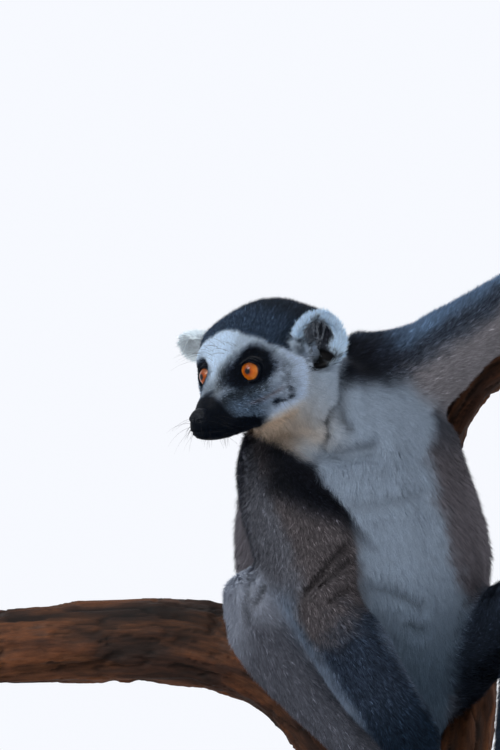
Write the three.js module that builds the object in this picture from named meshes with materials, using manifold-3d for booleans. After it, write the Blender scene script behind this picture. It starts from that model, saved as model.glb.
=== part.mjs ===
// A life-size ring-tailed lemur sitting in the fork of a cut branch, on a display stand.
// Units are millimetres and Z is up. The whole is laid out about the fork of the perch, and the
// group lifts it so that the underside of the base is at zero. X runs to the animal's left hand,
// which reaches up a limb, and the open front of the sitting figure looks along -Y.

import * as THREE from 'three';
import { mergeVertices } from 'three/addons/utils/BufferGeometryUtils.js';
import Module from 'manifold-3d';

const wasm = await Module();
wasm.setup();

const at = (x, y, z) => new THREE.Vector3(x, y, z);
const section = (centre, wide, deep) => ({ centre, wide, deep });
const degrees = THREE.MathUtils.degToRad;

// ---------------------------------------------------------------- driving dimensions

const GAP = 0.35; // clearance that every node keeps to its neighbours
const WELD = 0.002; // corners of a cut closer than this become one
const CUT = 0.001; // share of a run that a cut across it takes away

// Display stand
const FORK_HEIGHT = 245; // from the floor to the fork of the perch
const BASE = { centre: at(-12, 6, 0), length: 320, width: 244, thickness: 18, corner: 28, bevel: 2 };
const ROD_RADIUS = 5;
const ROD_SOCKET = 14; // how far a rod enters the perch
const ROD_SEAT = 8; // how far a rod enters the base
const ROD_SIDES = 12;
const ROD_SECTIONS = [5, 7]; // the branch sections that the rods stand under

// Directions of the body and the head, as turns about Z from straight ahead (-Y)
const TRUNK_TURN = degrees(25);
const HEAD_TURN = degrees(-40);
const HEAD_PITCH = degrees(16);
const HEAD_ROLL = degrees(2.5);
const BODY_FRONT = at(Math.sin(TRUNK_TURN), -Math.cos(TRUNK_TURN), 0);
const AHEAD = at(0, -1, 0);
const UP = at(0, 0, 1);

// Perch: a thick branch that comes in level from the side and drops through the fork, and a limb
// that rises from it behind the back. Each section has its centre and two half-sizes.
const BRANCH = [
  section(at(-232, 10, 112), 24, 24),
  section(at(-160, 12, 117), 25, 25),
  section(at(-90, 12, 115), 26, 25),
  section(at(-38, 10, 94), 26, 26),
  section(at(0, 8, 50), 27, 27),
  section(at(42, 0, 12), 27, 27),
  section(at(90, -16, -18), 25, 24),
  section(at(140, -30, -42), 23, 22),
];
const LIMB = [
  section(at(34, 4, 6), 22, 22),
  section(at(70, 34, 44), 20, 20),
  section(at(78, 74, 100), 18, 18),
  section(at(66, 92, 168), 16, 16),
  section(at(58, 80, 232), 15, 15),
  section(at(80, 62, 278), 14, 14),
  section(at(130, 60, 316), 13.5, 13.5),
  section(at(176, 58, 360), 13, 13),
  section(at(196, 56, 418), 12.5, 12.5),
  section(at(204, 54, 462), 12, 12),
];

// Trunk and neck in one run, from the rump to the skull, out to the tips of the coat
const TRUNK = [
  section(at(25, 46, 42), 36, 34),
  section(at(22, 42, 80), 50, 50),
  section(at(14, 28, 125), 74, 64),
  section(at(9, 14, 172), 84, 67),
  section(at(5, 8, 212), 77, 61),
  section(at(4, 8, 248), 64, 52),
  section(at(0, 2, 264), 50, 47),
  section(at(-18, -8, 275), 43, 40),
  section(at(-40, -20, 287), 34, 36),
];
const TRUNK_UPRIGHT = 0.7; // how far its sections stay level where the neck leans
const WAIST = 0.31; // share of the trunk's run at which the chest starts
const NECK_BASE = 0.62; // share of it at which the neck starts

// Head, in its own frame: X forward from the line between the eyes, Y to its left, Z up.
const EYE_LINE = at(-75, -48, 285.4);
const HEAD = [
  section(at(-70, 0, 4), 22, 20),
  section(at(-58, 0, 4), 33, 30),
  section(at(-40, 0, 0), 40, 36),
  section(at(-22, 0, -2), 40, 36),
  section(at(-8, 0, -5), 33, 32),
  section(at(4, 0, -10.5), 23, 26),
  section(at(13, 0, -16.8), 15.5, 19.7),
  section(at(24, 0, -21), 12.5, 14.3),
  section(at(32, 0, -23), 9.5, 10),
];
const NOSE = { centre: at(36, 0, -18.6), long: 4.5, wide: 6.2, high: 5.4 };
const EYE = { centre: at(-3.2, 16.9, 0), radius: 8 };
const EAR = { long: 17.5, thick: 4, bowl: 6.5 };
const EAR_POINT = 0.12; // how much longer the ear is at its tip than a plain oval
const LEFT_EAR = {
  ...EAR,
  side: 1,
  wide: 16.5,
  centre: at(-35.2, 45, 8),
  tipward: at(-0.05, 0.25, 0.96),
  facing: at(0.75, 0.56, -0.1),
};
// The right ear is laid out to the side, with its bowl turned down and forward
const RIGHT_EAR = {
  ...EAR,
  side: -1,
  wide: 12.5,
  centre: at(-32, 46, 12.5),
  tipward: at(-0.4, 0.86, -0.25),
  facing: at(0.8, 0.2, -0.55),
};

// Limbs, from the body outwards. An arm is one run, parted at the elbow.
const RIGHT_ARM = [
  section(at(-44, -12, 232), 28, 28),
  section(at(-40, -32, 210), 31, 27),
  section(at(-29, -51, 176), 31, 24),
  section(at(-17, -64, 148), 24, 21),
  section(at(-2, -67, 124), 22.5, 20),
  section(at(14, -62, 98), 20.5, 18),
  section(at(38, -52, 60), 17, 14),
];
const RIGHT_ELBOW = 0.5; // share of the arm's run at which the forearm starts
const LEFT_ARM = [
  section(at(18, 12, 276), 38, 32),
  section(at(44, 12, 287), 31, 28),
  section(at(66, 20, 305), 24, 23),
  section(at(94, 31, 323), 22, 22),
  section(at(115, 37, 337), 20, 20),
  section(at(132, 36, 360), 19, 18),
  section(at(148, 33, 385), 16, 15),
  section(at(167, 30, 413), 12, 11),
];
const LEFT_ELBOW = 0.57;
const RIGHT_THIGH = [
  section(at(0, 38, 80), 38, 36),
  section(at(-24, 4, 106), 32, 30),
  section(at(-46, -28, 134), 24, 23),
  section(at(-56, -42, 146), 16, 15),
];
const RIGHT_SHIN = [
  section(at(-62, -48, 148), 19, 21),
  section(at(-50, -45, 126), 25, 24),
  section(at(-26, -38, 92), 21, 20),
  section(at(12, -30, 48), 14, 13),
];
const LEFT_THIGH = [
  section(at(50, 48, 92), 36, 36),
  section(at(79, 16, 117), 27, 27),
  section(at(103, -22, 138), 23, 23),
  section(at(112, -36, 145), 16, 15),
];
const LEFT_SHIN = [
  section(at(119, -42, 146), 19, 21),
  section(at(115, -40, 116), 23, 24),
  section(at(107, -36, 72), 19, 19),
  section(at(97, -32, 20), 12, 12),
];

// Tail: it hangs behind the perch, sweeps round below it and lifts at the tip
const TAIL_LENGTHS = 4;
const TAIL = [
  section(at(16, 84, 72), 20, 20),
  section(at(8, 118, 30), 21, 21),
  section(at(-8, 132, -40), 21, 21),
  section(at(2, 130, -112), 22, 22),
  section(at(52, 122, -168), 22, 22),
  section(at(116, 114, -164), 22, 22),
  section(at(154, 108, -108), 22, 22),
  section(at(160, 104, -40), 21, 21),
  section(at(150, 100, 22), 15, 15),
];

// Hands and feet each hold the perch: the palm lies on it and the digits curve round it
const TOUCH = 1; // how far the hands and feet stay off the mean surface of the bark
const KNUCKLE_ANGLE = 26; // degrees round the held limb from the middle of the palm
const ROOT_ANGLE = 16; // where a digit leaves the palm
const ROOT_SPREAD = 0.8; // the digits stand closer at the root than at the tip
const TIP_SPREAD = 1.15;
const OUTER_SHORTER = 0.07; // how much the outer digits fall short of the middle ones
const DIGIT_TAPER = [1, 1.02, 0.92, 0.8];
const HAND = { digits: 4, spread: 8.6, radius: 4.2, palmDeep: 7, palmWide: 15, reach: 150, thumb: 100 };
const FOOT = { digits: 4, spread: 9.2, radius: 4.6, palmDeep: 8, palmWide: 17, reach: 140, thumb: 115 };
const RIGHT_HAND_GRIP = {
  wrist: at(45, -48, 53),
  centre: at(62, -7, 1),
  axis: at(0.82, -0.27, -0.5),
  palm: at(0.1, -0.8, 0.6),
  radius: 26,
  turn: 1,
};
const LEFT_HAND_GRIP = {
  wrist: at(168, 30, 414),
  centre: at(197, 56, 424),
  axis: at(-0.18, 0.04, -0.98),
  palm: at(-0.1, -0.99, 0),
  radius: 12.5,
  turn: -1,
};
const RIGHT_FOOT_GRIP = {
  wrist: at(14, -31, 46),
  centre: at(10, 5, 41),
  axis: at(-0.66, 0.1, 0.74),
  palm: at(-0.2, -0.76, -0.6),
  radius: 27,
  turn: -1,
};
const LEFT_FOOT_GRIP = {
  wrist: at(97, -33, 18),
  centre: at(94, -17, -20),
  axis: at(0.9, -0.25, -0.42),
  palm: at(0, -0.95, -0.1),
  radius: 24.5,
  turn: 1,
};

// How finely each kind of shape is faceted: points round a section, and rows along it
const FACETS = {
  branch: { sides: 10, rows: 20 },
  limb: { sides: 8, rows: 20 },
  head: { sides: 18, rows: 16 },
  ear: { sides: 14, rows: 8 },
  eye: { sides: 12, rows: 8 },
  nose: { sides: 10, rows: 6 },
  trunk: { sides: 16, rows: 7, startCap: 2, endCap: 2 },
  arm: { sides: 11, rows: 8, startCap: 2, endCap: 2 },
  leg: { sides: 10, rows: 8, startCap: 2, endCap: 2 },
  palm: { sides: 8, rows: 6, startCap: 1, endCap: 2 },
  digit: { sides: 5, rows: 5, startCap: 1, endCap: 1 },
  tail: { sides: 10, rows: 8, startCap: 2, endCap: 3 },
};

// ---------------------------------------------------------------- shape helpers

function toSolid(geometry) {
  const bare = geometry.clone();
  bare.deleteAttribute('normal');
  bare.deleteAttribute('uv');
  const welded = mergeVertices(bare, 1e-4);
  const vertProperties = new Float32Array(welded.attributes.position.array);
  const triVerts = new Uint32Array(welded.index.array);
  return new wasm.Manifold(new wasm.Mesh({ numProp: 3, vertProperties, triVerts }));
}

function toGeometry(solid) {
  const mesh = solid.getMesh();
  const geometry = new THREE.BufferGeometry();
  geometry.setAttribute('position', new THREE.BufferAttribute(new Float32Array(mesh.vertProperties), 3));
  geometry.setIndex(new THREE.BufferAttribute(new Uint32Array(mesh.triVerts), 1));
  return geometry;
}

// Welds corners that a cut has left almost on one spot, and drops the slivers between them.
function tidy(geometry) {
  const welded = mergeVertices(geometry, WELD);
  const corners = Array.from(welded.index.array);
  const kept = [];
  for (let i = 0; i < corners.length; i += 3) {
    const [a, b, c] = corners.slice(i, i + 3);
    if (a !== b && b !== c && c !== a) {
      kept.push(a, b, c);
    }
  }
  welded.setIndex(kept);
  welded.computeVertexNormals();
  return welded;
}

// The rows of a sphere's grid are laid along a curve through the sections: the first and last
// few rows round off the ends, or close them flat. `grow` makes the same shape larger all over.
// An `axis` draws the sections towards being square to it, by the share `upright`.
function loft(sections, options = {}) {
  const { sides = 12, rows = 12, front = AHEAD, from = 0, to = 1, grow = 0, ripple = null } = options;
  const { startCap = 3, endCap = 3, startFlat = false, endFlat = false } = options;
  const { axis = AHEAD, upright = 0 } = options;
  const spine = new THREE.CatmullRomCurve3(sections.map((s) => s.centre));
  const sizes = new THREE.CatmullRomCurve3(sections.map((s) => at(s.wide, s.deep, 0)));
  const first = startFlat ? 1 : startCap;
  const last = rows - (endFlat ? 1 : endCap);
  const geometry = new THREE.SphereGeometry(1, sides, rows);
  const position = geometry.attributes.position;
  for (let row = 0; row <= rows; row += 1) {
    const along = THREE.MathUtils.clamp((row - first) / (last - first), 0, 1);
    const t = THREE.MathUtils.lerp(from, to, along);
    const size = sizes.getPoint(t);
    const tangent = spine.getTangent(t).lerp(axis, upright).normalize();
    const side = new THREE.Vector3().crossVectors(tangent, front).normalize();
    const ahead = new THREE.Vector3().crossVectors(side, tangent);
    let scale = 1;
    let push = 0;
    if (row < first) {
      const angle = (Math.PI / 2) * (row / first);
      scale = startFlat ? 0 : Math.sin(angle);
      push = startFlat ? -grow : -Math.cos(angle) * (Math.min(size.x, size.y) + grow);
    } else if (row > last) {
      const angle = (Math.PI / 2) * ((rows - row) / (rows - last));
      scale = endFlat ? 0 : Math.sin(angle);
      push = endFlat ? grow : Math.cos(angle) * (Math.min(size.x, size.y) + grow);
    } else if (row === first && startFlat) {
      push = -grow;
    } else if (row === last && endFlat) {
      push = grow;
    }
    const centre = spine.getPoint(t).addScaledVector(tangent, push);
    for (let column = 0; column <= sides; column += 1) {
      const turn = ((column % sides) / sides) * 2 * Math.PI;
      const swell = ripple ? ripple(t, turn) : 1;
      const point = centre.clone();
      point.addScaledVector(side, (size.x * swell + grow) * scale * Math.cos(turn));
      point.addScaledVector(ahead, (size.y * swell + grow) * scale * Math.sin(turn));
      position.setXYZ(row * (sides + 1) + column, point.x, point.y, point.z);
    }
  }
  return toSolid(outward(geometry));
}

// Turns every face over when the closed shape is inside out.
function outward(geometry) {
  const position = geometry.attributes.position;
  const index = geometry.index;
  const [a, b, c] = [at(0, 0, 0), at(0, 0, 0), at(0, 0, 0)];
  let volume = 0;
  for (let i = 0; i < index.count; i += 3) {
    a.fromBufferAttribute(position, index.getX(i));
    b.fromBufferAttribute(position, index.getX(i + 1));
    c.fromBufferAttribute(position, index.getX(i + 2));
    volume += a.dot(b.cross(c));
  }
  if (volume < 0) {
    for (let i = 0; i < index.count; i += 3) {
      const held = index.getX(i);
      index.setX(i, index.getX(i + 2));
      index.setX(i + 2, held);
    }
  }
  return geometry;
}

function place(solid, matrix) {
  return toSolid(toGeometry(solid).applyMatrix4(matrix));
}

function ball(centre, long, wide, high, { sides, rows }) {
  const geometry = new THREE.SphereGeometry(1, sides, rows);
  geometry.scale(long, wide, high);
  geometry.translate(centre.x, centre.y, centre.z);
  return toSolid(geometry);
}

// ---------------------------------------------------------------- head

function headFrame() {
  const forward = at(Math.sin(HEAD_TURN), -Math.cos(HEAD_TURN), 0).multiplyScalar(Math.cos(HEAD_PITCH));
  forward.z = -Math.sin(HEAD_PITCH);
  const left = new THREE.Vector3().crossVectors(at(0, 0, 1), forward).normalize();
  left.applyAxisAngle(forward, HEAD_ROLL);
  const up = new THREE.Vector3().crossVectors(forward, left);
  return new THREE.Matrix4().makeBasis(forward, left, up).setPosition(EYE_LINE);
}

const HEAD_FRAME = headFrame();

function head(grow) {
  const options = { ...FACETS.head, front: UP, axis: at(1, 0, 0), upright: 1 };
  return place(loft(HEAD, { ...options, grow }), HEAD_FRAME);
}

function nose(grow) {
  const { centre, long, wide, high } = NOSE;
  return place(ball(centre, long + grow, wide + grow, high + grow, FACETS.nose), HEAD_FRAME);
}

function eye(side, grow) {
  const radius = EYE.radius + grow;
  const centre = at(EYE.centre.x, EYE.centre.y * side, EYE.centre.z);
  return place(ball(centre, radius, radius, radius, FACETS.eye), HEAD_FRAME);
}

// A round bowl with a blunt tip: the disc of a flattened sphere whose rim is drawn forward.
function ear(form, grow) {
  const facing = form.facing.clone().normalize();
  const across = new THREE.Vector3().crossVectors(form.tipward, facing).normalize();
  const tipward = new THREE.Vector3().crossVectors(facing, across);
  const geometry = new THREE.SphereGeometry(1, FACETS.ear.sides, FACETS.ear.rows);
  geometry.rotateX(Math.PI / 2);
  const position = geometry.attributes.position;
  for (let i = 0; i < position.count; i += 1) {
    const unit = at(0, 0, 0).fromBufferAttribute(position, i);
    const reach = unit.x * unit.x + unit.y * unit.y;
    const tip = 1 + EAR_POINT * Math.max(unit.y, 0) ** 2;
    const point = form.centre.clone();
    point.addScaledVector(across, unit.x * (form.wide + grow));
    point.addScaledVector(tipward, unit.y * (form.long * tip + grow));
    point.addScaledVector(facing, unit.z * (form.thick + grow) + form.bowl * (reach - 0.5));
    position.setXYZ(i, point.x, point.y * form.side, point.z);
  }
  return place(toSolid(outward(geometry)), HEAD_FRAME);
}

// ---------------------------------------------------------------- hands and feet

// A point on the skin of the held limb: `angle` runs round it from the palm, `slide` along it.
function gripPoint(grip, angle, slide, lift) {
  const axis = grip.axis.clone().normalize();
  const palm = grip.palm.clone().addScaledVector(axis, -grip.palm.dot(axis)).normalize();
  const round = new THREE.Vector3().crossVectors(axis, palm).multiplyScalar(grip.turn);
  const out = palm.multiplyScalar(Math.cos(angle)).addScaledVector(round, Math.sin(angle));
  return grip.centre.clone().addScaledVector(axis, slide).addScaledVector(out, grip.radius + lift);
}

function digit(grip, form, slides, angles, grow) {
  const sections = DIGIT_TAPER.map((scale, i) => {
    const share = i / (DIGIT_TAPER.length - 1);
    const slide = THREE.MathUtils.lerp(slides[0], slides[1], share);
    const angle = degrees(THREE.MathUtils.lerp(angles[0], angles[1], share));
    const radius = form.radius * scale;
    return section(gripPoint(grip, angle, slide, radius + TOUCH), radius, radius);
  });
  const front = grip.axis.clone().normalize();
  return loft(sections, { ...FACETS.digit, front, grow });
}

// The back of the hand or foot runs from the wrist to the knuckles, and the digits go on from it.
function grasp(grip, form, grow) {
  const middle = gripPoint(grip, 0, 0, form.palmDeep + TOUCH);
  const knuckles = gripPoint(grip, degrees(KNUCKLE_ANGLE), 0, form.palmDeep * 0.8 + TOUCH);
  const back = [
    section(grip.wrist, form.palmDeep * 1.45, form.palmDeep * 1.4),
    section(grip.wrist.clone().lerp(middle, 0.55), form.palmDeep * 1.5, form.palmDeep * 1.25),
    section(middle, form.palmWide, form.palmDeep),
    section(knuckles, form.palmWide * 0.95, form.palmDeep * 0.8),
  ];
  const front = new THREE.Vector3().subVectors(middle, grip.centre).normalize();
  let solid = loft(back, { ...FACETS.palm, front, grow });
  for (let i = 0; i < form.digits; i += 1) {
    const rank = i - (form.digits - 1) / 2;
    const slides = [rank * form.spread * ROOT_SPREAD, rank * form.spread * TIP_SPREAD];
    const reach = form.reach * (1 - OUTER_SHORTER * rank * rank);
    solid = solid.add(digit(grip, form, slides, [ROOT_ANGLE, reach], grow));
  }
  const thumbSlides = [form.palmWide * 0.45, form.palmWide * 1.15];
  return solid.add(digit(grip, form, thumbSlides, [-ROOT_ANGLE, -form.thumb], grow));
}

// ---------------------------------------------------------------- trunk, limbs and tail

function trunk(from, to, grow) {
  const options = { ...FACETS.trunk, front: BODY_FRONT, axis: UP, upright: TRUNK_UPRIGHT };
  return loft(TRUNK, { ...options, from, to, startFlat: from > 0, endFlat: to < 1, grow });
}

function upperArm(sections, elbow, grow) {
  return loft(sections, { ...FACETS.arm, to: elbow, endFlat: true, grow });
}

function forearm(sections, elbow, grow) {
  const from = elbow + CUT;
  return loft(sections, { ...FACETS.arm, startFlat: true, from, grow });
}

function leg(sections, grow) {
  return loft(sections, { ...FACETS.leg, grow });
}

function tailLength(number, grow) {
  const share = 1 / TAIL_LENGTHS;
  const last = TAIL_LENGTHS - 1;
  const from = number * share + (number > 0 ? CUT : 0);
  const options = { ...FACETS.tail, startFlat: number > 0, endFlat: number < last };
  return loft(TAIL, { ...options, from, to: (number + 1) * share, grow });
}

// ---------------------------------------------------------------- perch and stand

function bark(t, turn) {
  return 1 + 0.012 * Math.sin(3 * turn + 5 * t) + 0.018 * Math.sin(29 * t + 2 * Math.sin(turn));
}

function perch(sections, facets, grow) {
  return loft(sections, { ...facets, startFlat: true, endFlat: true, ripple: bark, grow });
}

function rodAt(x, y, top, grow) {
  const bottom = BASE.thickness - ROD_SEAT - FORK_HEIGHT - grow;
  const height = top + grow - bottom;
  const geometry = new THREE.CylinderGeometry(ROD_RADIUS + grow, ROD_RADIUS + grow, height, ROD_SIDES);
  geometry.rotateX(Math.PI / 2);
  geometry.translate(x, y, bottom + height / 2);
  return toSolid(geometry);
}

// A rod stands under one section of the branch and ends inside it.
function rod(under, grow) {
  const top = under.centre.z - under.deep + ROD_SOCKET;
  return rodAt(under.centre.x, under.centre.y, top, grow);
}

function base(grow) {
  const [x, y] = [BASE.length / 2 - BASE.bevel, BASE.width / 2 - BASE.bevel];
  const outline = new THREE.Shape();
  outline.moveTo(x, y - BASE.corner);
  outline.absarc(x - BASE.corner, y - BASE.corner, BASE.corner, 0, Math.PI / 2);
  outline.absarc(BASE.corner - x, y - BASE.corner, BASE.corner, Math.PI / 2, Math.PI);
  outline.absarc(BASE.corner - x, BASE.corner - y, BASE.corner, Math.PI, 1.5 * Math.PI);
  outline.absarc(x - BASE.corner, BASE.corner - y, BASE.corner, 1.5 * Math.PI, 2 * Math.PI);
  outline.closePath();
  const bevel = { bevelSize: BASE.bevel, bevelThickness: BASE.bevel, bevelSegments: 1 };
  const depth = BASE.thickness - 2 * BASE.bevel + grow;
  const geometry = new THREE.ExtrudeGeometry(outline, { depth, curveSegments: 2, ...bevel });
  geometry.translate(BASE.centre.x, BASE.centre.y, BASE.bevel - FORK_HEIGHT);
  return toSolid(geometry);
}

// ---------------------------------------------------------------- nodes

const COLOURS = {
  crown: [0x3a4049, 0.95],
  pale: [0xd5d8da, 0.95],
  grey: [0x74757a, 0.95],
  brown: [0x6d625c, 0.95],
  black: [0x14161a, 0.6],
  amber: [0xd9741a, 0.15],
  bark: [0x5b3324, 0.9],
  stand: [0x2a2b2d, 0.5],
};

const NODES = [
  ['stand_rod_left', 'stand', (grow) => rod(BRANCH[ROD_SECTIONS[0]], grow)],
  ['stand_rod_right', 'stand', (grow) => rod(BRANCH[ROD_SECTIONS[1]], grow)],
  ['stand_base', 'stand', base],
  ['perch_branch', 'bark', (grow) => perch(BRANCH, FACETS.branch, grow)],
  ['perch_limb', 'bark', (grow) => perch(LIMB, FACETS.limb, grow)],
  ['eye_left', 'amber', (grow) => eye(1, grow)],
  ['eye_right', 'amber', (grow) => eye(-1, grow)],
  ['nose', 'black', nose],
  ['neck', 'pale', (grow) => trunk(NECK_BASE + CUT, 1, grow)],
  ['chest', 'pale', (grow) => trunk(WAIST + CUT, NECK_BASE, grow)],
  ['abdomen', 'brown', (grow) => trunk(0, WAIST, grow)],
  ['forearm_right', 'grey', (grow) => forearm(RIGHT_ARM, RIGHT_ELBOW, grow)],
  ['forearm_left', 'grey', (grow) => forearm(LEFT_ARM, LEFT_ELBOW, grow)],
  ['shin_right', 'grey', (grow) => leg(RIGHT_SHIN, grow)],
  ['shin_left', 'grey', (grow) => leg(LEFT_SHIN, grow)],
  ['hand_right', 'grey', (grow) => grasp(RIGHT_HAND_GRIP, HAND, grow)],
  ['hand_left', 'grey', (grow) => grasp(LEFT_HAND_GRIP, HAND, grow)],
  ['foot_right', 'grey', (grow) => grasp(RIGHT_FOOT_GRIP, FOOT, grow)],
  ['foot_left', 'grey', (grow) => grasp(LEFT_FOOT_GRIP, FOOT, grow)],
  ['head', 'crown', head],
  ['ear_left', 'pale', (grow) => ear(LEFT_EAR, grow)],
  ['ear_right', 'pale', (grow) => ear(RIGHT_EAR, grow)],
  ['upper_arm_right', 'brown', (grow) => upperArm(RIGHT_ARM, RIGHT_ELBOW, grow)],
  ['upper_arm_left', 'grey', (grow) => upperArm(LEFT_ARM, LEFT_ELBOW, grow)],
  ['thigh_right', 'grey', (grow) => leg(RIGHT_THIGH, grow)],
  ['thigh_left', 'grey', (grow) => leg(LEFT_THIGH, grow)],
  ...Array.from({ length: TAIL_LENGTHS }, (_, i) => [
    `tail_${i + 1}`,
    i === TAIL_LENGTHS - 1 ? 'black' : 'pale',
    (grow) => tailLength(i, grow),
  ]),
];

function largestPiece(solid) {
  const pieces = solid.decompose();
  return pieces.reduce((best, piece) => (piece.volume() > best.volume() ? piece : best));
}

// Each node gives way to those before it, so that neighbours meet with the gap and don't overlap.
function buildModel() {
  const model = new THREE.Group();
  model.position.set(-BASE.centre.x, -BASE.centre.y, FORK_HEIGHT);
  const taken = [];
  for (const [name, finish, shape] of NODES) {
    let solid = shape(0);
    for (const grown of taken) {
      solid = solid.subtract(grown);
    }
    taken.push(shape(GAP));
    const [color, roughness] = COLOURS[finish];
    const material = new THREE.MeshStandardMaterial({ color, roughness, metalness: 0 });
    const mesh = new THREE.Mesh(tidy(toGeometry(largestPiece(solid))), material);
    mesh.name = name;
    model.add(mesh);
  }
  return model;
}

export default buildModel();
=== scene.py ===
import math

import bmesh
import bpy
import numpy as np
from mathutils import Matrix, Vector
from mathutils.bvhtree import BVHTree

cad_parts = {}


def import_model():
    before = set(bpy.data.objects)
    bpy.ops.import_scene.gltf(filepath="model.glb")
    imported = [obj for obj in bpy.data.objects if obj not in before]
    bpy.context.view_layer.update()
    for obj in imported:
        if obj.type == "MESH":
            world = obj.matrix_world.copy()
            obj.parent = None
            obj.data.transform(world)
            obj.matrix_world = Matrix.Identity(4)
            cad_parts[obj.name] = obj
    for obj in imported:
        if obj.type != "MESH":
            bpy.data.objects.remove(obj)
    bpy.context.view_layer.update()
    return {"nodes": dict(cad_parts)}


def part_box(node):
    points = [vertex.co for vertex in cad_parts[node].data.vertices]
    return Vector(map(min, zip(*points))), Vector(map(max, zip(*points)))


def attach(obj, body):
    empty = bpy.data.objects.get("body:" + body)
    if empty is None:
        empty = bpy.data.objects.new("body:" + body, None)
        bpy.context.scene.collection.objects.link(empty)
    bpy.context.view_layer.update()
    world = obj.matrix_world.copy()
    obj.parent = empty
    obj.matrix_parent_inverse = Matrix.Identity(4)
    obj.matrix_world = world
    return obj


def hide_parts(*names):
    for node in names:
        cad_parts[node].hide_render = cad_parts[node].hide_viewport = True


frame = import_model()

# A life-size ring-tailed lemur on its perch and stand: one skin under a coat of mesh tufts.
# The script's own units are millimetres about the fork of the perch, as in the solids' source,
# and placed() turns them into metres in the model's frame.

MM = 0.001
FORK = np.array([12.0, -6.0, 245.0])  # the fork of the perch, from the centre of the base's underside
SEED = 7

NODES = frame["nodes"]
SIDES = ("left", "right")
LIMB_NODES = [f"{part}_{side}" for part in ("upper_arm", "forearm", "thigh", "shin") for side in SIDES]
TAIL_NODES = [f"tail_{i}" for i in range(1, 5)]
BODY_NODES = ["head", "neck", "chest", "abdomen", *LIMB_NODES, *TAIL_NODES]
GRIP_NODES = [f"{part}_{side}" for part in ("hand", "foot") for side in SIDES]


# ---------------------------------------------------------------- numbers and noise

def vec(*values):
    return np.array(values, float)


def unit(v):
    return v / np.maximum(np.linalg.norm(v, axis=-1, keepdims=True), 1e-12)


def placed(points):
    return (np.asarray(points, float) + FORK) * MM


def unplaced(points):
    return np.asarray(points, float) / MM - FORK


def step(low, high, x):
    """0 below low, 1 above high, and smooth between. It falls where low is above high."""
    t = np.clip((x - low) / (high - low), 0, 1)
    return t * t * (3 - 2 * t)


def mix(a, b, share):
    """From a to b by a share at each point, for numbers or for points and colours."""
    share = np.asarray(share, float)
    if np.shape(a)[-1:] == (3,) or np.shape(b)[-1:] == (3,):
        share = share[..., None]
    return a + (b - a) * share


LATTICE_STRIDES = np.array([374761393, 668265263, 1103515245])  # odd numbers that scatter the cells


def lattice(cell, seed):
    """A fixed value from 0 to 1 for each whole cell."""
    h = (cell @ LATTICE_STRIDES + seed * 97531) & 0xFFFFFFFF
    h = ((h ^ (h >> 13)) * 1274126177) & 0xFFFFFFFF
    return ((h ^ (h >> 16)) & 0xFFFF) / 65535.0


def noise(points, size, seed=0):
    """Smooth noise from -1 to 1 whose lumps are about `size` across."""
    q = np.asarray(points, float) / size
    cell = np.floor(q).astype(np.int64)
    f = q - cell
    f = f * f * (3 - 2 * f)
    total = np.zeros(q.shape[:-1])
    for corner in np.ndindex(2, 2, 2):
        weight = np.prod(np.where(np.array(corner), f, 1 - f), axis=-1)
        total += weight * lattice(cell + np.array(corner), seed)
    return 2 * total - 1


def swirl(points, size, seed):
    return np.column_stack([noise(points, size, seed + k) for k in range(3)])


def bell(x, middle, width):
    """1 at the middle, fading out over `width` on both sides."""
    return np.exp(-((x - middle) / width) ** 2)


def blob(points, centre, size, power=2):
    """1 at the centre, fading out over `size` each way."""
    return np.exp(-((np.abs(points - vec(*centre)) / vec(*size)) ** power).sum(-1))


def linear(colour):
    """Written (sRGB) colour to the linear one that the renderer takes."""
    c = np.clip(np.asarray(colour, float), 0, 1)
    return np.where(c <= 0.04045, c / 12.92, ((c + 0.055) / 1.055) ** 2.4)


# ---------------------------------------------------------------- the body's directions

def spline(points, count=48):
    """A smooth curve through the points, as even steps of its parameter."""
    p = np.asarray(points, float)
    padded = np.vstack([2 * p[0] - p[1], p, 2 * p[-1] - p[-2]])
    t = np.linspace(0, len(p) - 1, count)
    i = np.minimum(t.astype(int), len(p) - 2)
    f = (t - i)[:, None]
    a, b, c, d = padded[i], padded[i + 1], padded[i + 2], padded[i + 3]
    bend, twist = 2 * a - 5 * b + 4 * c - d, 3 * b - a - 3 * c + d
    return 0.5 * (2 * b + (c - a) * f + bend * f**2 + twist * f**3)


AXES = {
    "trunk": spline([(-40, -20, 287), (-18, -8, 275), (4, 8, 248), (5, 8, 212), (14, 28, 125), (25, 46, 42)]),
    "arm_right": spline([(-44, -12, 232), (-40, -32, 210), (-17, -64, 148), (-2, -67, 124), (14, -62, 98),
                         (38, -52, 60)]),
    "arm_left": spline([(18, 12, 276), (44, 12, 287), (94, 31, 323), (115, 37, 337), (148, 33, 385),
                        (167, 30, 413)]),
    "thigh_right": spline([(0, 38, 80), (-24, 4, 106), (-46, -28, 134), (-56, -42, 146)]),
    "shin_right": spline([(-62, -48, 148), (-50, -45, 126), (-26, -38, 92), (12, -30, 48)]),
    "thigh_left": spline([(50, 48, 92), (79, 16, 117), (103, -22, 138), (112, -36, 145)]),
    "shin_left": spline([(119, -42, 146), (115, -40, 116), (107, -36, 72), (97, -32, 20)]),
    "tail": spline([(16, 84, 72), (8, 118, 30), (-8, 132, -40), (2, 130, -112), (52, 122, -168),
                    (116, 114, -164), (154, 108, -108), (160, 104, -40), (150, 100, 22)], 140),
}
PART_OF_NODE = {"head": "head", "neck": "trunk", "chest": "trunk", "abdomen": "trunk"}
PART_OF_NODE.update({f"{n}_{s}": f"arm_{s}" for n in ("upper_arm", "forearm") for s in SIDES})
PART_OF_NODE.update({f"{n}_{s}": f"{n}_{s}" for n in ("thigh", "shin", "hand", "foot", "ear") for s in SIDES})
PART_OF_NODE.update({name: "tail" for name in TAIL_NODES})
PARTS = sorted(set(PART_OF_NODE.values()))

HEAD_TURN, HEAD_PITCH, HEAD_ROLL = (math.radians(a) for a in (-40, 16, 2.5))
EYE_LINE = vec(-75, -48, 285.4)  # the point between the eyes


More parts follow.
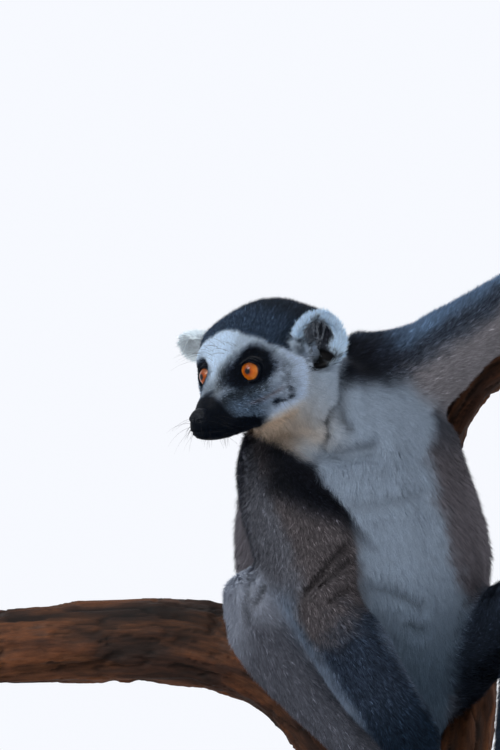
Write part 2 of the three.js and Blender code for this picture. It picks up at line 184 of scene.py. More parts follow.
def head_axes():
    """Forward, left and up of the head, as rows."""
    ahead = vec(math.sin(HEAD_TURN), -math.cos(HEAD_TURN), 0) * math.cos(HEAD_PITCH)
    ahead[2] = -math.sin(HEAD_PITCH)
    left = unit(np.cross(vec(0, 0, 1), ahead))
    left = left * math.cos(HEAD_ROLL) + np.cross(ahead, left) * math.sin(HEAD_ROLL)
    return np.array([ahead, left, np.cross(ahead, left)])


HEAD_AXES = head_axes()
EYE_CENTRE = vec(-3.2, 16.9, 0)  # of the left eye, in the head's own frame
EYE_RADIUS = 8.0
EYE_AXIS = unit(vec(0.947, 0.234, 0.22))
EYE_OPENING = math.radians(50)
FAR_EYE_DROP = 2.0  # how far the tilted face lets the right eye down
NOSE_CENTRE = vec(36, 0, -18.6)


def to_head(points):
    return (points - EYE_LINE) @ HEAD_AXES.T


def from_head(points):
    return points @ HEAD_AXES + EYE_LINE


def mirrored(h):
    """Points in the head's frame, with its right half laid on its left."""
    return np.column_stack([h[:, 0], np.abs(h[:, 1]), h[:, 2]])


def nearest_on(axis, points):
    """For each point, the index of the axis's nearest point."""
    blocks = np.array_split(points, len(points) // 20000 + 1)
    return np.concatenate([((block[:, None] - axis) ** 2).sum(-1).argmin(1) for block in blocks])


def along(part, points):
    """How far along the part's axis each point is (0 to 1), and the axis's direction there."""
    axis = AXES[part]
    nearest = nearest_on(axis, points)
    return nearest / (len(axis) - 1), unit(np.gradient(axis, axis=0))[nearest]


def off_axis(part, points):
    """How far along the part's axis each point is (0 to 1), and where it lies from the axis there."""
    axis = AXES[part]
    nearest = nearest_on(axis, points)
    return nearest / (len(axis) - 1), points - axis[nearest]


# ---------------------------------------------------------------- meshes

def read(items, key, width=1, kind=float):
    """One property of every item of a Blender collection, `width` values each."""
    values = np.empty(len(items) * width, kind)
    items.foreach_get(key, values)
    return values.reshape(-1, width) if width > 1 else values


def arrays(mesh):
    """Points, edges and normals of a Blender mesh, in the script's units."""
    edges = read(mesh.edges, "vertices", 2, np.int64)
    return unplaced(read(mesh.vertices, "co", 3)), edges, read(mesh.vertex_normals, "vector", 3)


def surface_tree(mesh):
    """A mesh's faces in the script's units, ready for finding what lies nearest."""
    points, _, _ = arrays(mesh)
    return BVHTree.FromPolygons(points.tolist(), [list(p.vertices) for p in mesh.polygons])


def set_points(mesh, points):
    mesh.vertices.foreach_set("co", placed(points).ravel())
    mesh.update()


def spread(values, edges, rounds, share=0.5):
    """Evens values out over a mesh: each round moves every value towards its neighbours' mean."""
    values = np.array(values, float)
    flat = values.reshape(len(values), -1)
    a, b = edges[:, 0], edges[:, 1]
    count = len(flat)
    degree = np.maximum(np.bincount(edges.ravel(), minlength=count), 1)
    for _ in range(rounds):
        for k in range(flat.shape[1]):
            column = flat[:, k]
            mean = (np.bincount(a, column[b], count) + np.bincount(b, column[a], count)) / degree
            flat[:, k] = column + share * (mean - column)
    return values


def smooth_shape(points, edges, rounds):
    """Takes small lumps and facets off without shrinking the shape."""
    for _ in range(rounds):
        points = spread(points, edges, 1, 0.5)
        points = spread(points, edges, 1, -0.53)
    return points


def new_object(name, mesh):
    obj = bpy.data.objects.new(name, mesh)
    bpy.context.scene.collection.objects.link(obj)
    return obj


def mesh_from(bm, name):
    mesh = bpy.data.meshes.new(name)
    bm.to_mesh(mesh)
    bm.free()
    return mesh


def modified(mesh, kind, **settings):
    """The mesh that one modifier makes of this one."""
    obj = new_object("block", mesh)
    modifier = obj.modifiers.new("block", kind)
    for key, value in settings.items():
        setattr(modifier, key, value)
    result = bpy.data.meshes.new_from_object(obj.evaluated_get(bpy.context.evaluated_depsgraph_get()))
    bpy.data.objects.remove(obj)
    return result


def remeshed(names, voxel, swell):
    """One closed mesh round the named solids, each swollen so that it meets its neighbours."""
    bm = bmesh.new()
    for name in names:
        bm.from_mesh(NODES[name].data)
    bmesh.ops.remove_doubles(bm, verts=bm.verts, dist=1e-6)
    bmesh.ops.recalc_face_normals(bm, faces=bm.faces)
    bm.normal_update()
    for vert in bm.verts:
        vert.co += vert.normal * swell * MM
    return modified(mesh_from(bm, "block"), "REMESH", mode="VOXEL", voxel_size=voxel * MM)


def faces_of(mesh):
    size = read(mesh.polygons, "loop_total", 1, np.int64)
    return np.split(read(mesh.loops, "vertex_index", 1, np.int64), np.cumsum(size)[:-1])


def ball_angles(rows, columns):
    """Angles off the axis and round it for the points of a ball: its rows, then its two ends."""
    off = np.linspace(0, math.pi, rows + 2)[1:-1]
    turn = np.linspace(0, 2 * math.pi, columns, endpoint=False)
    off, turn = np.meshgrid(off, turn, indexing="ij")
    return np.append(off.ravel(), (0, math.pi)), np.append(turn.ravel(), (0, 0))


def ball_faces(rows, columns):
    """The faces between the points of ball_angles."""
    faces = []
    for row in range(rows - 1):
        for column in range(columns):
            a, b = row * columns + column, row * columns + (column + 1) % columns
            faces.append([a, a + columns, b + columns, b])
    first, last, base = rows * columns, rows * columns + 1, (rows - 1) * columns
    for column in range(columns):
        after = (column + 1) % columns
        faces.append([first, column, after])
        faces.append([base + column, last, base + after])
    return faces


# ---------------------------------------------------------------- ears

EARS = {
    "left": {"side": 1, "folds": 1.0, "centre": vec(-35.2, 45, 8), "wide": 15.2,
             "tipward": vec(-0.05, 0.25, 0.96), "facing": vec(0.75, 0.56, -0.1)},
    "right": {"side": -1, "folds": 0.3, "centre": vec(-32, 46, 12.5), "wide": 11.4,
              "tipward": vec(-0.4, 0.86, -0.25), "facing": vec(0.8, 0.2, -0.55)},
}
EAR_LONG, EAR_BOWL, EAR_THICK = 16.2, 7.0, 1.0
EAR_ROWS, EAR_COLUMNS = 35, 56


def ear_axes(ear):
    tipward = unit(ear["tipward"])
    across = unit(np.cross(tipward, ear["facing"]))
    return across, tipward, np.cross(across, tipward)


def ear_point(ear, x, y, lift):
    """A point of the ear's bowl: x across it and y towards its tip, both 1 at the rim."""
    across, tipward, facing = ear_axes(ear)
    reach = x * x + y * y
    tip = 1 + 0.12 * np.maximum(y, 0) ** 2
    depth = EAR_BOWL * (reach - 0.5) + lift
    p = ear["centre"] + across * (x * ear["wide"])[..., None] + tipward * (y * EAR_LONG * tip)[..., None]
    p = p + facing * depth[..., None]
    p[..., 1] *= ear["side"]
    return from_head(p)


def ear_folds(x, y):
    """Height of the cartilage folds inside the ear, in millimetres."""
    reach = np.hypot(x, y)
    rim = 1.5 * bell(reach, 0.86, 0.09)
    fold = 1.7 * bell(np.hypot(x - 0.1, y + 0.25), 0.55, 0.09) * step(-0.5, 0.1, y)
    pit = -4.5 * bell(x, 0, 0.38) * bell(y, -0.45, 0.3)
    lobe = 2.6 * bell(x, -0.45, 0.2) * bell(y, -0.62, 0.22)
    return rim + fold + pit + lobe


def ear_front(ear, points):
    """Where points of an ear lie across its bowl, and 1 on its front or 0 on its back."""
    across, tipward, facing = ear_axes(ear)
    away = to_head(points) * vec(1, ear["side"], 1) - ear["centre"]
    x, y = away @ across / ear["wide"], away @ tipward / EAR_LONG
    round_part = EAR_THICK * np.sqrt(np.clip(1 - x * x - y * y, 0, 1))
    folds = ear["folds"] * ear_folds(x, y)
    apart = np.maximum(2 * round_part + np.maximum(folds, 0), 0.4)
    lift = away @ facing - EAR_BOWL * (x * x + y * y - 0.5)
    return x, y, step(0.3, 0.7, (lift + round_part - np.minimum(folds, 0)) / apart)


def ear_bowl(x, y, wander=0):
    """1 in the dark bowl of an ear, whose rim is widest behind, and 0 on its rim."""
    return step(1.12, 0.86, np.hypot((x + 0.06) / 0.60, (y - 0.16) / 0.74) + wander)


def ear_opening(x, y, wander=0):
    """1 in the opening at the foot of an ear's bowl, where shadow is painted black."""
    foot = np.exp(-(((x + 0.20) / 0.46) ** 2 + ((y + 0.84) / 0.40) ** 2) ** 2)
    arm = np.exp(-(((x - 0.28) / 0.50) ** 2 + ((y + 0.56) / 0.20) ** 2) ** 2)
    return np.clip((1.3 + 0.8 * wander) * np.maximum(foot, arm), 0, 1)


def ear_hole(h):
    """1 in the opening at the foot of the left ear, where shadow is painted black, for points in the head's
    frame.
    """
    return blob(h, (-31.5, 43.5, -5), (6.5, 6.5, 5.5), 4)


def ear_shell(ear):
    """Points and faces of one ear: the front from its middle out to the rim, then the back."""
    psi, turn = ball_angles(EAR_ROWS, EAR_COLUMNS)
    x, y = np.sin(psi) * np.cos(turn), np.sin(psi) * np.sin(turn)
    folds = ear["folds"] * ear_folds(x, y)
    lift = np.cos(psi) * EAR_THICK + np.where(psi < math.pi / 2, folds, np.minimum(folds, 0))
    faces = ball_faces(EAR_ROWS, EAR_COLUMNS)
    if ear["side"] < 0:
        faces = [face[::-1] for face in faces]
    return ear_point(ear, x, y, lift), faces


# ---------------------------------------------------------------- the skin

BODY_VOXEL, GRIP_VOXEL = 3.3, 1.6
BODY_ROUNDS, GRIP_ROUNDS = 9, 5  # of smoothing
CLOSE_GAPS = 0.5  # how far each solid is swollen so that the gaps between them close
FACE_REACH, MUZZLE_REACH = -34.0, -14.0  # in the head's frame: finer mesh in front of these
EYE_REACH = 12.5  # and within this of an eye's centre


def joined_shells():
    """The body, the hands and feet, and the ears as one mesh."""
    solids = [(BODY_NODES + ["eye_left", "eye_right", "nose"], BODY_VOXEL, CLOSE_GAPS, BODY_ROUNDS)]
    solids += [([name], GRIP_VOXEL, 0, GRIP_ROUNDS) for name in GRIP_NODES]
    shells = []
    for names, voxel, swell, rounds in solids:
        block = remeshed(names, voxel, swell)
        co, edges, _ = arrays(block)
        shells.append((smooth_shape(co, edges, rounds), faces_of(block)))
        bpy.data.meshes.remove(block)
    shells += [ear_shell(ear) for ear in EARS.values()]
    faces, offset = [], 0
    for co, corners in shells:
        faces += [(np.asarray(face) + offset).tolist() for face in corners]
        offset += len(co)
    mesh = bpy.data.meshes.new("skin")
    mesh.from_pydata(placed(np.vstack([co for co, _ in shells])).tolist(), [], faces)
    mesh.validate()
    return mesh


def unwrap(obj):
    """Gives the skin an unwrap of its own shape."""
    bpy.context.view_layer.objects.active = obj
    obj.select_set(True)
    bpy.ops.object.mode_set(mode="EDIT")
    bpy.ops.mesh.select_all(action="SELECT")
    bpy.ops.mesh.normals_make_consistent(inside=False)
    bpy.ops.uv.smart_project(angle_limit=math.radians(66), island_margin=0.002)
    bpy.ops.object.mode_set(mode="OBJECT")
    obj.select_set(False)
    obj.data.uv_layers[0].name = "OFBake"


def in_reach(points, reach):
    """Which points are in front of a plane across the head."""
    x, y, z = mirrored(to_head(points)).T
    return (x > reach) & (y < 60) & (z > -46) & (z < 60)


def round_eyes(points):
    return np.linalg.norm(mirrored(to_head(points)) - EYE_CENTRE, axis=1) < EYE_REACH


def refine_face(mesh):
    """Halves the mesh's edges over the face, again over the eyes and muzzle, and again at the lids."""
    bm = bmesh.new()
    bm.from_mesh(mesh)
    for chosen in (lambda p: in_reach(p, FACE_REACH), lambda p: in_reach(p, MUZZLE_REACH), round_eyes):
        bm.verts.ensure_lookup_table()
        near = chosen(unplaced(np.array([v.co for v in bm.verts])))
        edges = [e for e in bm.edges if near[e.verts[0].index] and near[e.verts[1].index]]
        bmesh.ops.subdivide_edges(bm, edges=edges, cuts=1, use_grid_fill=True)
        bm.verts.index_update()
    bm.to_mesh(mesh)
    bm.free()


def nearest_parts(points):
    """For each point, the index in PARTS of the solid it is nearest to."""
    corners, triangles, owner = [], [], []
    for name, part in PART_OF_NODE.items():
        mesh = NODES[name].data
        offset = len(corners)
        corners += [v.co.copy() for v in mesh.vertices]
        triangles += [[offset + i for i in p.vertices] for p in mesh.polygons]
        owner += [PARTS.index(part)] * len(mesh.polygons)
    tree = BVHTree.FromPolygons(corners, triangles)
    found = [tree.find_nearest(Vector(p))[2] for p in placed(points)]
    return np.array(owner)[found]


def part_shares(points, edges, part):
    """How much each part owns each point, with soft borders."""
    shares = np.zeros((len(points), len(PARTS)))
    shares[np.arange(len(points)), part] = 1
    return spread(shares, edges, 5)


def share(shares, *names):
    """How much the named parts together own each point."""
    return sum(shares[:, PARTS.index(name)] for name in names)


def far_eye_drop(h):
    """How far the tilted face lets the right eye down, about that eye only."""
    away = np.linalg.norm(h - EYE_CENTRE * vec(1, -1, 1), axis=1)
    return FAR_EYE_DROP * np.exp(-((away / 20) ** 4))[:, None] * vec(0, 0, 1)


def eye_polar(h):
    """Distance from the nearer eye's centre and angle off its axis, for points in the head's frame."""
    away = mirrored(h + far_eye_drop(h)) - EYE_CENTRE
    reach = np.linalg.norm(away, axis=1)
    return reach, np.arccos(np.clip(away @ EYE_AXIS / np.maximum(reach, 1e-9), -1, 1))


def eye_patch(h):
    """0 in the middle of the dark patch round an eye, and 1 at its edge."""
    h = h + far_eye_drop(h)
    y, z = np.abs(h[:, 1]) - 18.6, h[:, 2] - 0.5
    high = np.where(z > 0, np.where(h[:, 1] > 0, 14.0, 10.0), 10.6)
    wide = np.where(y > 0, 12.2, 13.4 + 1.2 * step(-8, 6, z))
    return ((np.abs(y) / wide) ** 2.1 + (np.abs(z) / high) ** 2.1) ** (1 / 2.1)


KNEES = ((-62, -48, 152), (119, -42, 150))  # the coat is thin over them


def face_coat(h):
    """Depth and length of the coat over the head: shortest on the muzzle and round the eyes."""
    back = step(6, -34, h[:, 0])
    crown = step(2, 16, h[:, 2]) * step(-8, -18, h[:, 0])
    cheek = step(0, -18, h[:, 2]) * step(-2, -26, h[:, 0])
    bare = step(14, 24, h[:, 0] - 0.2 * h[:, 2])
    near_eye = step(1.3, 0.6, eye_patch(h)) * step(-22, -8, h[:, 0])
    depth = mix(mix(1.4, 2.8, back), 0.6, bare) + 1.2 * crown + 0.8 * cheek
    length = mix(mix(3.2, 6.0, back), 1.4, bare) - 0.4 * crown + 2.2 * cheek
    return mix(depth, 1.1, near_eye), mix(length, 2.4, near_eye)


def coat_plan(points, shares, folds=()):
    """Depth of the coat, and length and width of its hairs, all in millimetres, at each point."""
    total = np.zeros((3, len(points)))

    def give(weight, *amounts):
        for row, amount in zip(total, amounts):
            row += weight * amount

    depth, length = face_coat(to_head(points))
    give(share(shares, "head"), depth, length, 0.26 + 0.012 * length)
    neck = step(225, 262, points[:, 2])
    give(share(shares, "trunk"), mix(3.4, 2.8, neck), mix(8.0, 6.4, neck), mix(0.38, 0.33, neck))
    for side, ear in EARS.items():
        t = along(f"arm_{side}", points)[0]
        depth, length = mix(2.8, 2.1, step(0.35, 1, t)), mix(5.0, 4.2, step(0.3, 1, t))
        give(share(shares, f"arm_{side}"), depth, length, 0.30)
        give(share(shares, f"thigh_{side}"), 3.2, 6.4, 0.34)
        low = step(0.4, 1, along(f"shin_{side}", points)[0])
        give(share(shares, f"shin_{side}"), mix(2.8, 2.1, low), mix(5.2, 4.4, low), 0.31)
        give(share(shares, f"hand_{side}", f"foot_{side}"), 0.8, 2.6, 0.28)
        x, y, front = ear_front(ear, points)
        give(share(shares, f"ear_{side}"), 0.0, mix(5.4, 3.4, front * ear_bowl(x, y)), 0.26)
    give(share(shares, "tail"), 8.5, 15.0, 0.42)
    for line, _, wide, dark in folds:
        total[:2] *= 1 - 0.9 * dark * bell(fold_reach(points, line, 2 * wide), 0, wide)
    for knee in KNEES:
        total[:2] *= 1 - 0.45 * blob(points, knee, (20, 20, 20))
    return total


WRISTS = {"hand_right": (45, -48, 53), "hand_left": (168, 30, 414),
          "foot_right": (14, -31, 46), "foot_left": (97, -33, 18)}


def lay_of_coat(points, normals, edges, part):
    """The way the hair lies at each point: back from the nose, and out along each limb."""
    flow = np.zeros_like(points)
    for index, name in enumerate(PARTS):
        mine = part == index
        if not mine.any():
            continue
        p = points[mine]
        if name in AXES:
            flow[mine] = along(name, p)[1]
        elif name == "head":
            h = to_head(p)
            away = h - vec(26, 0, -10)
            away[:, 2] += -0.35 * np.maximum(-8 - h[:, 0], 0) * step(8, -12, h[:, 2])
            flow[mine] = unit(away) @ HEAD_AXES
        elif name.startswith("ear"):
            ear = EARS[name[4:]]
            _, tipward, facing = ear_axes(ear)
            mirror = vec(1, ear["side"], 1)
            out = to_head(p) * mirror - (ear["centre"] - tipward * 22 - facing * 2)
            flow[mine] = (unit(out) * mirror) @ HEAD_AXES
        else:
            flow[mine] = unit(p - vec(*WRISTS[name]))
    flow = spread(unit(flow), edges, 8)
    flow += 0.16 * swirl(points, 34, 11) + 0.12 * swirl(points, 12, 15)
    flow -= normals * (flow * normals).sum(1, keepdims=True)
    return unit(flow)


DENSE_COAT = 0.68  # share of the coat's depth below which it looks solid
INSET_STEPS = 3


def inset(points, normals, edges, depth):
    """Moves the surface in by the coat's depth, a step at a time so that it stays even."""
    for _ in range(INSET_STEPS):
        points = points - normals * (depth / INSET_STEPS)[:, None]
        points = spread(points, edges, 1, 0.25)
    return points


def shaped_muzzle(m):
    """A square-cut end, fuller lips, a dip between the eyes, and a crown that is flat under its coat."""
    m = m + blob(m, (22, 9.5, -27), (9, 5, 4))[:, None] * vec(0.4, 1.3, -0.6)
    m = m - blob(m, (9, 0, 10), (9, 9, 10))[:, None] * vec(0.5, 0, 1.4)
    m = m - blob(m, (16, 14, -9), (6, 5, 6))[:, None] * vec(0.6, 1.1, -0.2)
    m[:, 2] -= 2.3 * step(16, 30, m[:, 2]) * step(12, -8, m[:, 0])
    return m


def with_brow(m, ahead, off):
    """The brow above the eye and the cheekbone below it."""
    rise, ring = off[:, 2], np.linalg.norm(off, axis=1)
    brow = 1.7 * bell(ring, 13.0, 3.6) * step(-3, 9, rise)
    bone = 0.9 * bell(ring, 14.0, 3.6) * step(3, -8, rise)
    return m + unit(m - EYE_CENTRE) * ((brow + bone) * step(-9, 2, ahead))[:, None]


def lid_opening(way):
    """Half-angle of the opening between the lids, by the way from the eye's axis."""
    inner = vec(0.35, -1.0, -0.35)
    corner = np.clip(way @ unit(inner - (inner @ EYE_AXIS) * EYE_AXIS), -1, 1)
    opening = EYE_OPENING + 0.16 * step(0.86, 1.0, corner) + 0.05 * step(-0.9, -1.0, corner)
    opening = opening - 0.16 * step(0.25, 0.95, way[:, 2]) - 0.14 * step(-0.8, -1, way[:, 2])
    return opening + 0.09 * step(0.55, 1, way @ unit(vec(0.1, -0.7, -0.7)))


def with_lids(m, off):
    """The lids lie on the eyeball and stop in a rim round its opening."""
    way = unit(off)
    opening = lid_opening(way)
    reach = np.linalg.norm(m - EYE_CENTRE, axis=1)
    out = unit(m - EYE_CENTRE)
    angle = np.arccos(np.clip(out @ EYE_AXIS, -1, 1))
    at_rim = np.abs(angle - opening) < math.radians(1.7)
    toward = way * np.sin(opening)[:, None] + EYE_AXIS * np.cos(opening)[:, None]
    out = np.where(at_rim[:, None], toward, out)
    angle = np.where(at_rim, opening, angle)
    under = angle < opening
    lid = EYE_RADIUS + 1.15 + 0.35 * step(math.radians(9), 0, angle - opening)
    target = np.where(under, EYE_RADIUS - 0.9, lid)
    near = step(17, 13, reach)
    blend = np.where(under, 1, step(math.radians(88), math.radians(64), angle))
    new_reach = mix(reach, target, blend * near)
    clear = (angle < math.radians(80)) & ~under
    new_reach = np.where(clear, np.maximum(new_reach, EYE_RADIUS + 0.7), new_reach)
    crease = bell(angle - opening, math.radians(15), math.radians(3.5))
    new_reach = new_reach - 0.5 * crease * near * ~under
    return mix(m, EYE_CENTRE + out * new_reach[:, None], near * (angle < math.radians(95)))


def with_creases(m, ahead, off):
    """Folds of loose skin below the eye, and the line of the mouth."""
    rise, ring = off[:, 2], np.linalg.norm(off, axis=1)
    out = unit(m - EYE_CENTRE)
    for radius, depth in ((17.5, 0.5), (20.5, 0.4)):
        fold = bell(ring, radius, 0.8) * step(-4, -9, rise) * step(14, 18, ring)
        m = m - out * (depth * fold * step(-10, 0, ahead))[:, None]
    mouth = bell(m[:, 2], -26.8 - 0.22 * (33 - m[:, 0]), 0.75) * step(-6, -1, m[:, 0])
    return m - mouth[:, None] * unit(m - vec(10, 0, -22))


def sculpt_face(points, head):
    """Lids, brow, muzzle and mouth, worked into the head's surface in its own frame."""
    h = to_head(points)
    side = np.where(h[:, 1] < 0, -1.0, 1.0)
    m = shaped_muzzle(mirrored(h))
    ahead = (m - EYE_CENTRE) @ EYE_AXIS
    off = m - EYE_CENTRE - ahead[:, None] * EYE_AXIS
    m = with_creases(with_lids(with_brow(m, ahead, off), off), ahead, off)
    m[:, 1] *= side
    return mix(points, from_head(m - far_eye_drop(m)), step(0.4, 0.8, head))


# Folds of the skin and partings of the coat, each along a line: its points, depth, half-width, and the
# strength of the painted shade along it
FOLDS = [
    ([(-5, -65, 182), (-17, -78, 170), (-30, -81, 155)], 3.4, 3.4, 0.78),
    ([(-2, -67, 173), (-11, -77, 167), (-21, -81, 161)], 3.0, 3.0, 0.70),
    ([(-2, -77, 158), (-9, -82, 154), (-15, -85, 150)], 2.6, 2.8, 0.72),
    ([(-5, -42, 290), (-7, -45, 281), (-8, -46, 262), (-4, -45, 254)], 3.8, 4.6, 0.5),
    ([(-14, -52, 262), (-20, -55, 250), (-19, -55, 243)], 2.6, 3.4, 0.5),
    ([(-25, -46, 237), (-8, -47, 239), (12, -44, 243)], 3.2, 6.0, 0.28),
    ([(4, -52, 158), (26, -46, 153), (42, -38, 145)], 2.6, 4.4, 0.24),
    ([(36, -36, 134), (44, -31, 129)], 2.4, 4.0, 0.30),
    ([(1, -56, 208), (20, -51, 209), (42, -39, 215)], 1.6, 5.0, 0.12),
    ([(-62, -58, 163), (-64, -65, 154), (-66, -67, 145), (-64, -68, 136)], 2.2, 3.0, 0.5),
    ([(-54, -61, 157), (-58, -67, 150), (-61, -68, 145)], 1.8, 2.6, 0.45),
]


def folds_on(tree):
    """The folds with their lines laid on the skin as close-set points."""
    return [(np.array([tree.find_nearest(Vector(p))[0] for p in spline(line, 30)]), *sizes)
            for line, *sizes in FOLDS]


def fold_reach(points, line, reach):
    """Distance from each point to a fold's line, or twice `reach` where it is well away."""
    middle = line.mean(0)
    size = np.linalg.norm(line - middle, axis=1).max() + 2 * reach
    away = np.full(len(points), 2.0 * reach)
    near = np.linalg.norm(points - middle, axis=1) < size
    if near.any():
        away[near] = np.sqrt(((points[near][:, None] - line[None]) ** 2).sum(-1).min(1))
    return np.minimum(away, 2 * reach)


def fold_shade(points):
    """Painted shade along the folds and partings of the coat, as a factor on the colour that is 1 away from
    them.
    """
    shade = np.ones(len(points))
    for line, _, wide, dark in skin_folds:
        shade -= dark * bell(fold_reach(points, line, 2 * wide), 0, 0.72 * wide)
    return np.clip(shade, 0.22, 1)


def body_folds(points, normals, folds):
    """Creases inside the elbow, at the neck and on the belly, and slack skin all over."""
    push = 1.2 * noise(points * vec(1, 1, 0.6), 34, 3) + 0.5 * noise(points * vec(1, 1, 0.5), 13, 4)
    for line, depth, wide, _ in folds:
        away = fold_reach(points, line, 2.5 * wide)
        push -= depth * (bell(away, 0, wide) - 0.45 * bell(away, 1.9 * wide, wide))
    return points + normals * push[:, None]


def fuller_arm(points, arm):
    """The right arm's inner side, which swells above the elbow and draws in below it."""
    axis = AXES["arm_right"]
    x, z = points[:, 0], points[:, 2]
    beside = x - np.interp(z, axis[::-1, 2], axis[::-1, 0])
    swell = 8.0 * bell(z, 200, 13) - 4.0 * bell(z, 147, 16)
    inner = arm * step(2, 16, beside) * swell
    outer = arm * step(0, -12, beside) * 5.5 * bell(z, 98, 34)
    return points + inner[:, None] * vec(1, -0.2, 0) - outer[:, None] * vec(1, 0, 0)


def fuller_nape(points, body):
    """The thick coat that joins the nape to the left shoulder."""
    return points + (body * blob(points, (0, -4, 300), (13, 13, 13)))[:, None] * vec(-4, -4, 5)


def build_skin():
    """The skin, the part that each of its points belongs to, the parts' shares of it, and its folds."""
    mesh = joined_shells()
    obj = new_object("skin", mesh)
    unwrap(obj)
    refine_face(mesh)
    points, edges, normals = arrays(mesh)
    part = nearest_parts(points)
    shares = part_shares(points, edges, part)
    fine = in_reach(points, FACE_REACH)
    points = np.where(fine[:, None], smooth_shape(points, edges, 3), points)
    depth = spread(coat_plan(points, shares)[0], edges, 4)
    set_points(mesh, points)
    points, edges, normals = arrays(mesh)
    normals = unit(spread(normals, edges, 3))
    points = inset(points, normals, edges, DENSE_COAT * depth)
    points = fuller_arm(points, share(shares, "arm_right"))
    points = fuller_nape(points, share(shares, "trunk", "arm_left"))
    set_points(mesh, points)
    points, edges, normals = arrays(mesh)
    body = share(shares, "trunk", "arm_right", "arm_left", "shin_right", "thigh_right")
    folds = folds_on(surface_tree(mesh))
    points = mix(points, body_folds(points, normals, folds), np.clip(body, 0, 1))
    set_points(mesh, sculpt_face(points, share(shares, "head")))
    mesh.shade_smooth()
    return obj, part, shares, folds


skin, skin_part, skin_shares, skin_folds = build_skin()


# ---------------------------------------------------------------- markings

# Written colours of the coat and the bare skin
SLATE = vec(0.14, 0.185, 0.245)
BROW_WHITE = vec(0.80, 0.87, 0.94)
JET = vec(0.012, 0.03, 0.065)
# white fur with dark roots below the eyes, with painted shade in it
MASK_BLUE_AND_SHADE = vec(0.26, 0.32, 0.39)
# painted shade for the folds of skin below the eyes
EYE_FOLD_SHADE = vec(0.30, 0.25, 0.26)
CHEEK = vec(0.78, 0.85, 0.94)
TEMPLE = vec(0.42, 0.46, 0.51)
THROAT = vec(0.86, 0.78, 0.70)
CHEST = vec(0.62, 0.68, 0.75)
# the belly's white, painted darker and bluer at the bottom as painted shade
SHADED_LOW_BELLY = 0.62 * vec(0.56, 0.68, 0.80)
BACK = vec(0.43, 0.415, 0.44)
HIGH_BACK = vec(0.25, 0.27, 0.31)
# dark fur, and painted shadow under the chin where the right arm's band lies
DARK_FUR_AND_SHADOW = vec(0.07, 0.08, 0.11)
UPPER_ARM = vec(0.36, 0.34, 0.35)
# painted skylight: the bluish top of the left arm
SKYLIT_ARM_TOP = vec(0.36, 0.45, 0.56)
ARM_SIDE = vec(0.20, 0.23, 0.28)
ARM_UNDER = vec(0.51, 0.50, 0.52)
FOREARM = vec(0.175, 0.215, 0.275)
WRIST = vec(0.075, 0.125, 0.18)
# painted rim light along the edges of the right forearm
RIMLIT_FOREARM_EDGE = vec(0.50, 0.56, 0.64)
KNEE = vec(0.64, 0.67, 0.73)
LEG = vec(0.36, 0.37, 0.41)
# painted shade inside the left thigh
SHADED_LEG = vec(0.13, 0.17, 0.23)
HAND = vec(0.33, 0.36, 0.40)
TAIL_WHITE = vec(0.76, 0.79, 0.82)
TAIL_BLACK = vec(0.06, 0.06, 0.07)
EAR_WHITE = vec(0.80, 0.89, 0.97)
# the far ear's white, painted paler than the near one as painted light
LIT_FAR_EAR_WHITE = vec(0.94, 0.98, 1.0)
EAR_DARK = vec(0.12, 0.13, 0.16)
EAR_PALE = vec(0.50, 0.53, 0.57)
# painted shadow in the openings of the ears
OPENING_SHADOW = vec(0.01, 0.012, 0.02)

TAIL_RINGS = 13
BELLY_TURN = math.radians(17)  # the middle of the pale belly, as a turn from straight ahead


def cap_share(x, y, z):
    """1 on the dark cap over the crown, whose edge runs above the brows and down to the ears."""
    edge = np.interp(y, [2, 5, 11.6, 18, 23, 28, 34.6, 38, 44],
                     [28.6, 27.6, 24.6, 23.2, 22.2, 20.0, 19.2, 19.0, 14])
    behind_ear = step(28, 38, y) * step(-20, -28, x)
    return step(-2.2, 1.4, z - 0.8 * x - edge) * mix(1, step(3, 10, z), behind_ear)


def cap_tone(x, y):
    """The cap is darkest at the back and beside the ears."""
    return mix(1, 0.62, np.maximum(step(-22, -40, x), step(24, 36, y) * step(-8, -16, x)))


def pale_face(h, fine):
    """Cheeks, throat, brow and the bridge of the nose, with a greyer temple, and painted shade on the left of
    the brow and bridge.
    """
    x, y, z = mirrored(h).T
    colour = np.tile(CHEEK, (len(h), 1))
    colour = mix(colour, THROAT, step(-25, -38, z + 0.3 * x) * step(10, -2, x))
    brow = step(-16, -10, x) * step(0, 8, z + 0.25 * x)
    # painted shade over the brow's left half
    colour = mix(colour, BROW_WHITE * mix(1, 0.86, step(-2, 12, h[:, 1]))[:, None], brow)
    bridge = step(-12, 2, x) * step(10, 5, y) * step(-16, -6, z)
    # painted shade on the bridge's left side, with the bridge's own greying towards the black tip
    grey_and_shade = np.maximum(0.4 * step(12, 21, x), 0.55 * step(-3, 5, h[:, 1]) * step(9, 3, z))
    colour = mix(colour, BROW_WHITE * (1 - grey_and_shade)[:, None], bridge)
    temple = bell(x, -10, 5.5) * step(25, 30, y) * step(10, 0, z) * step(-25, -17, z)
    return mix(colour, TEMPLE, temple * np.clip(0.75 + 0.9 * fine, 0, 1))


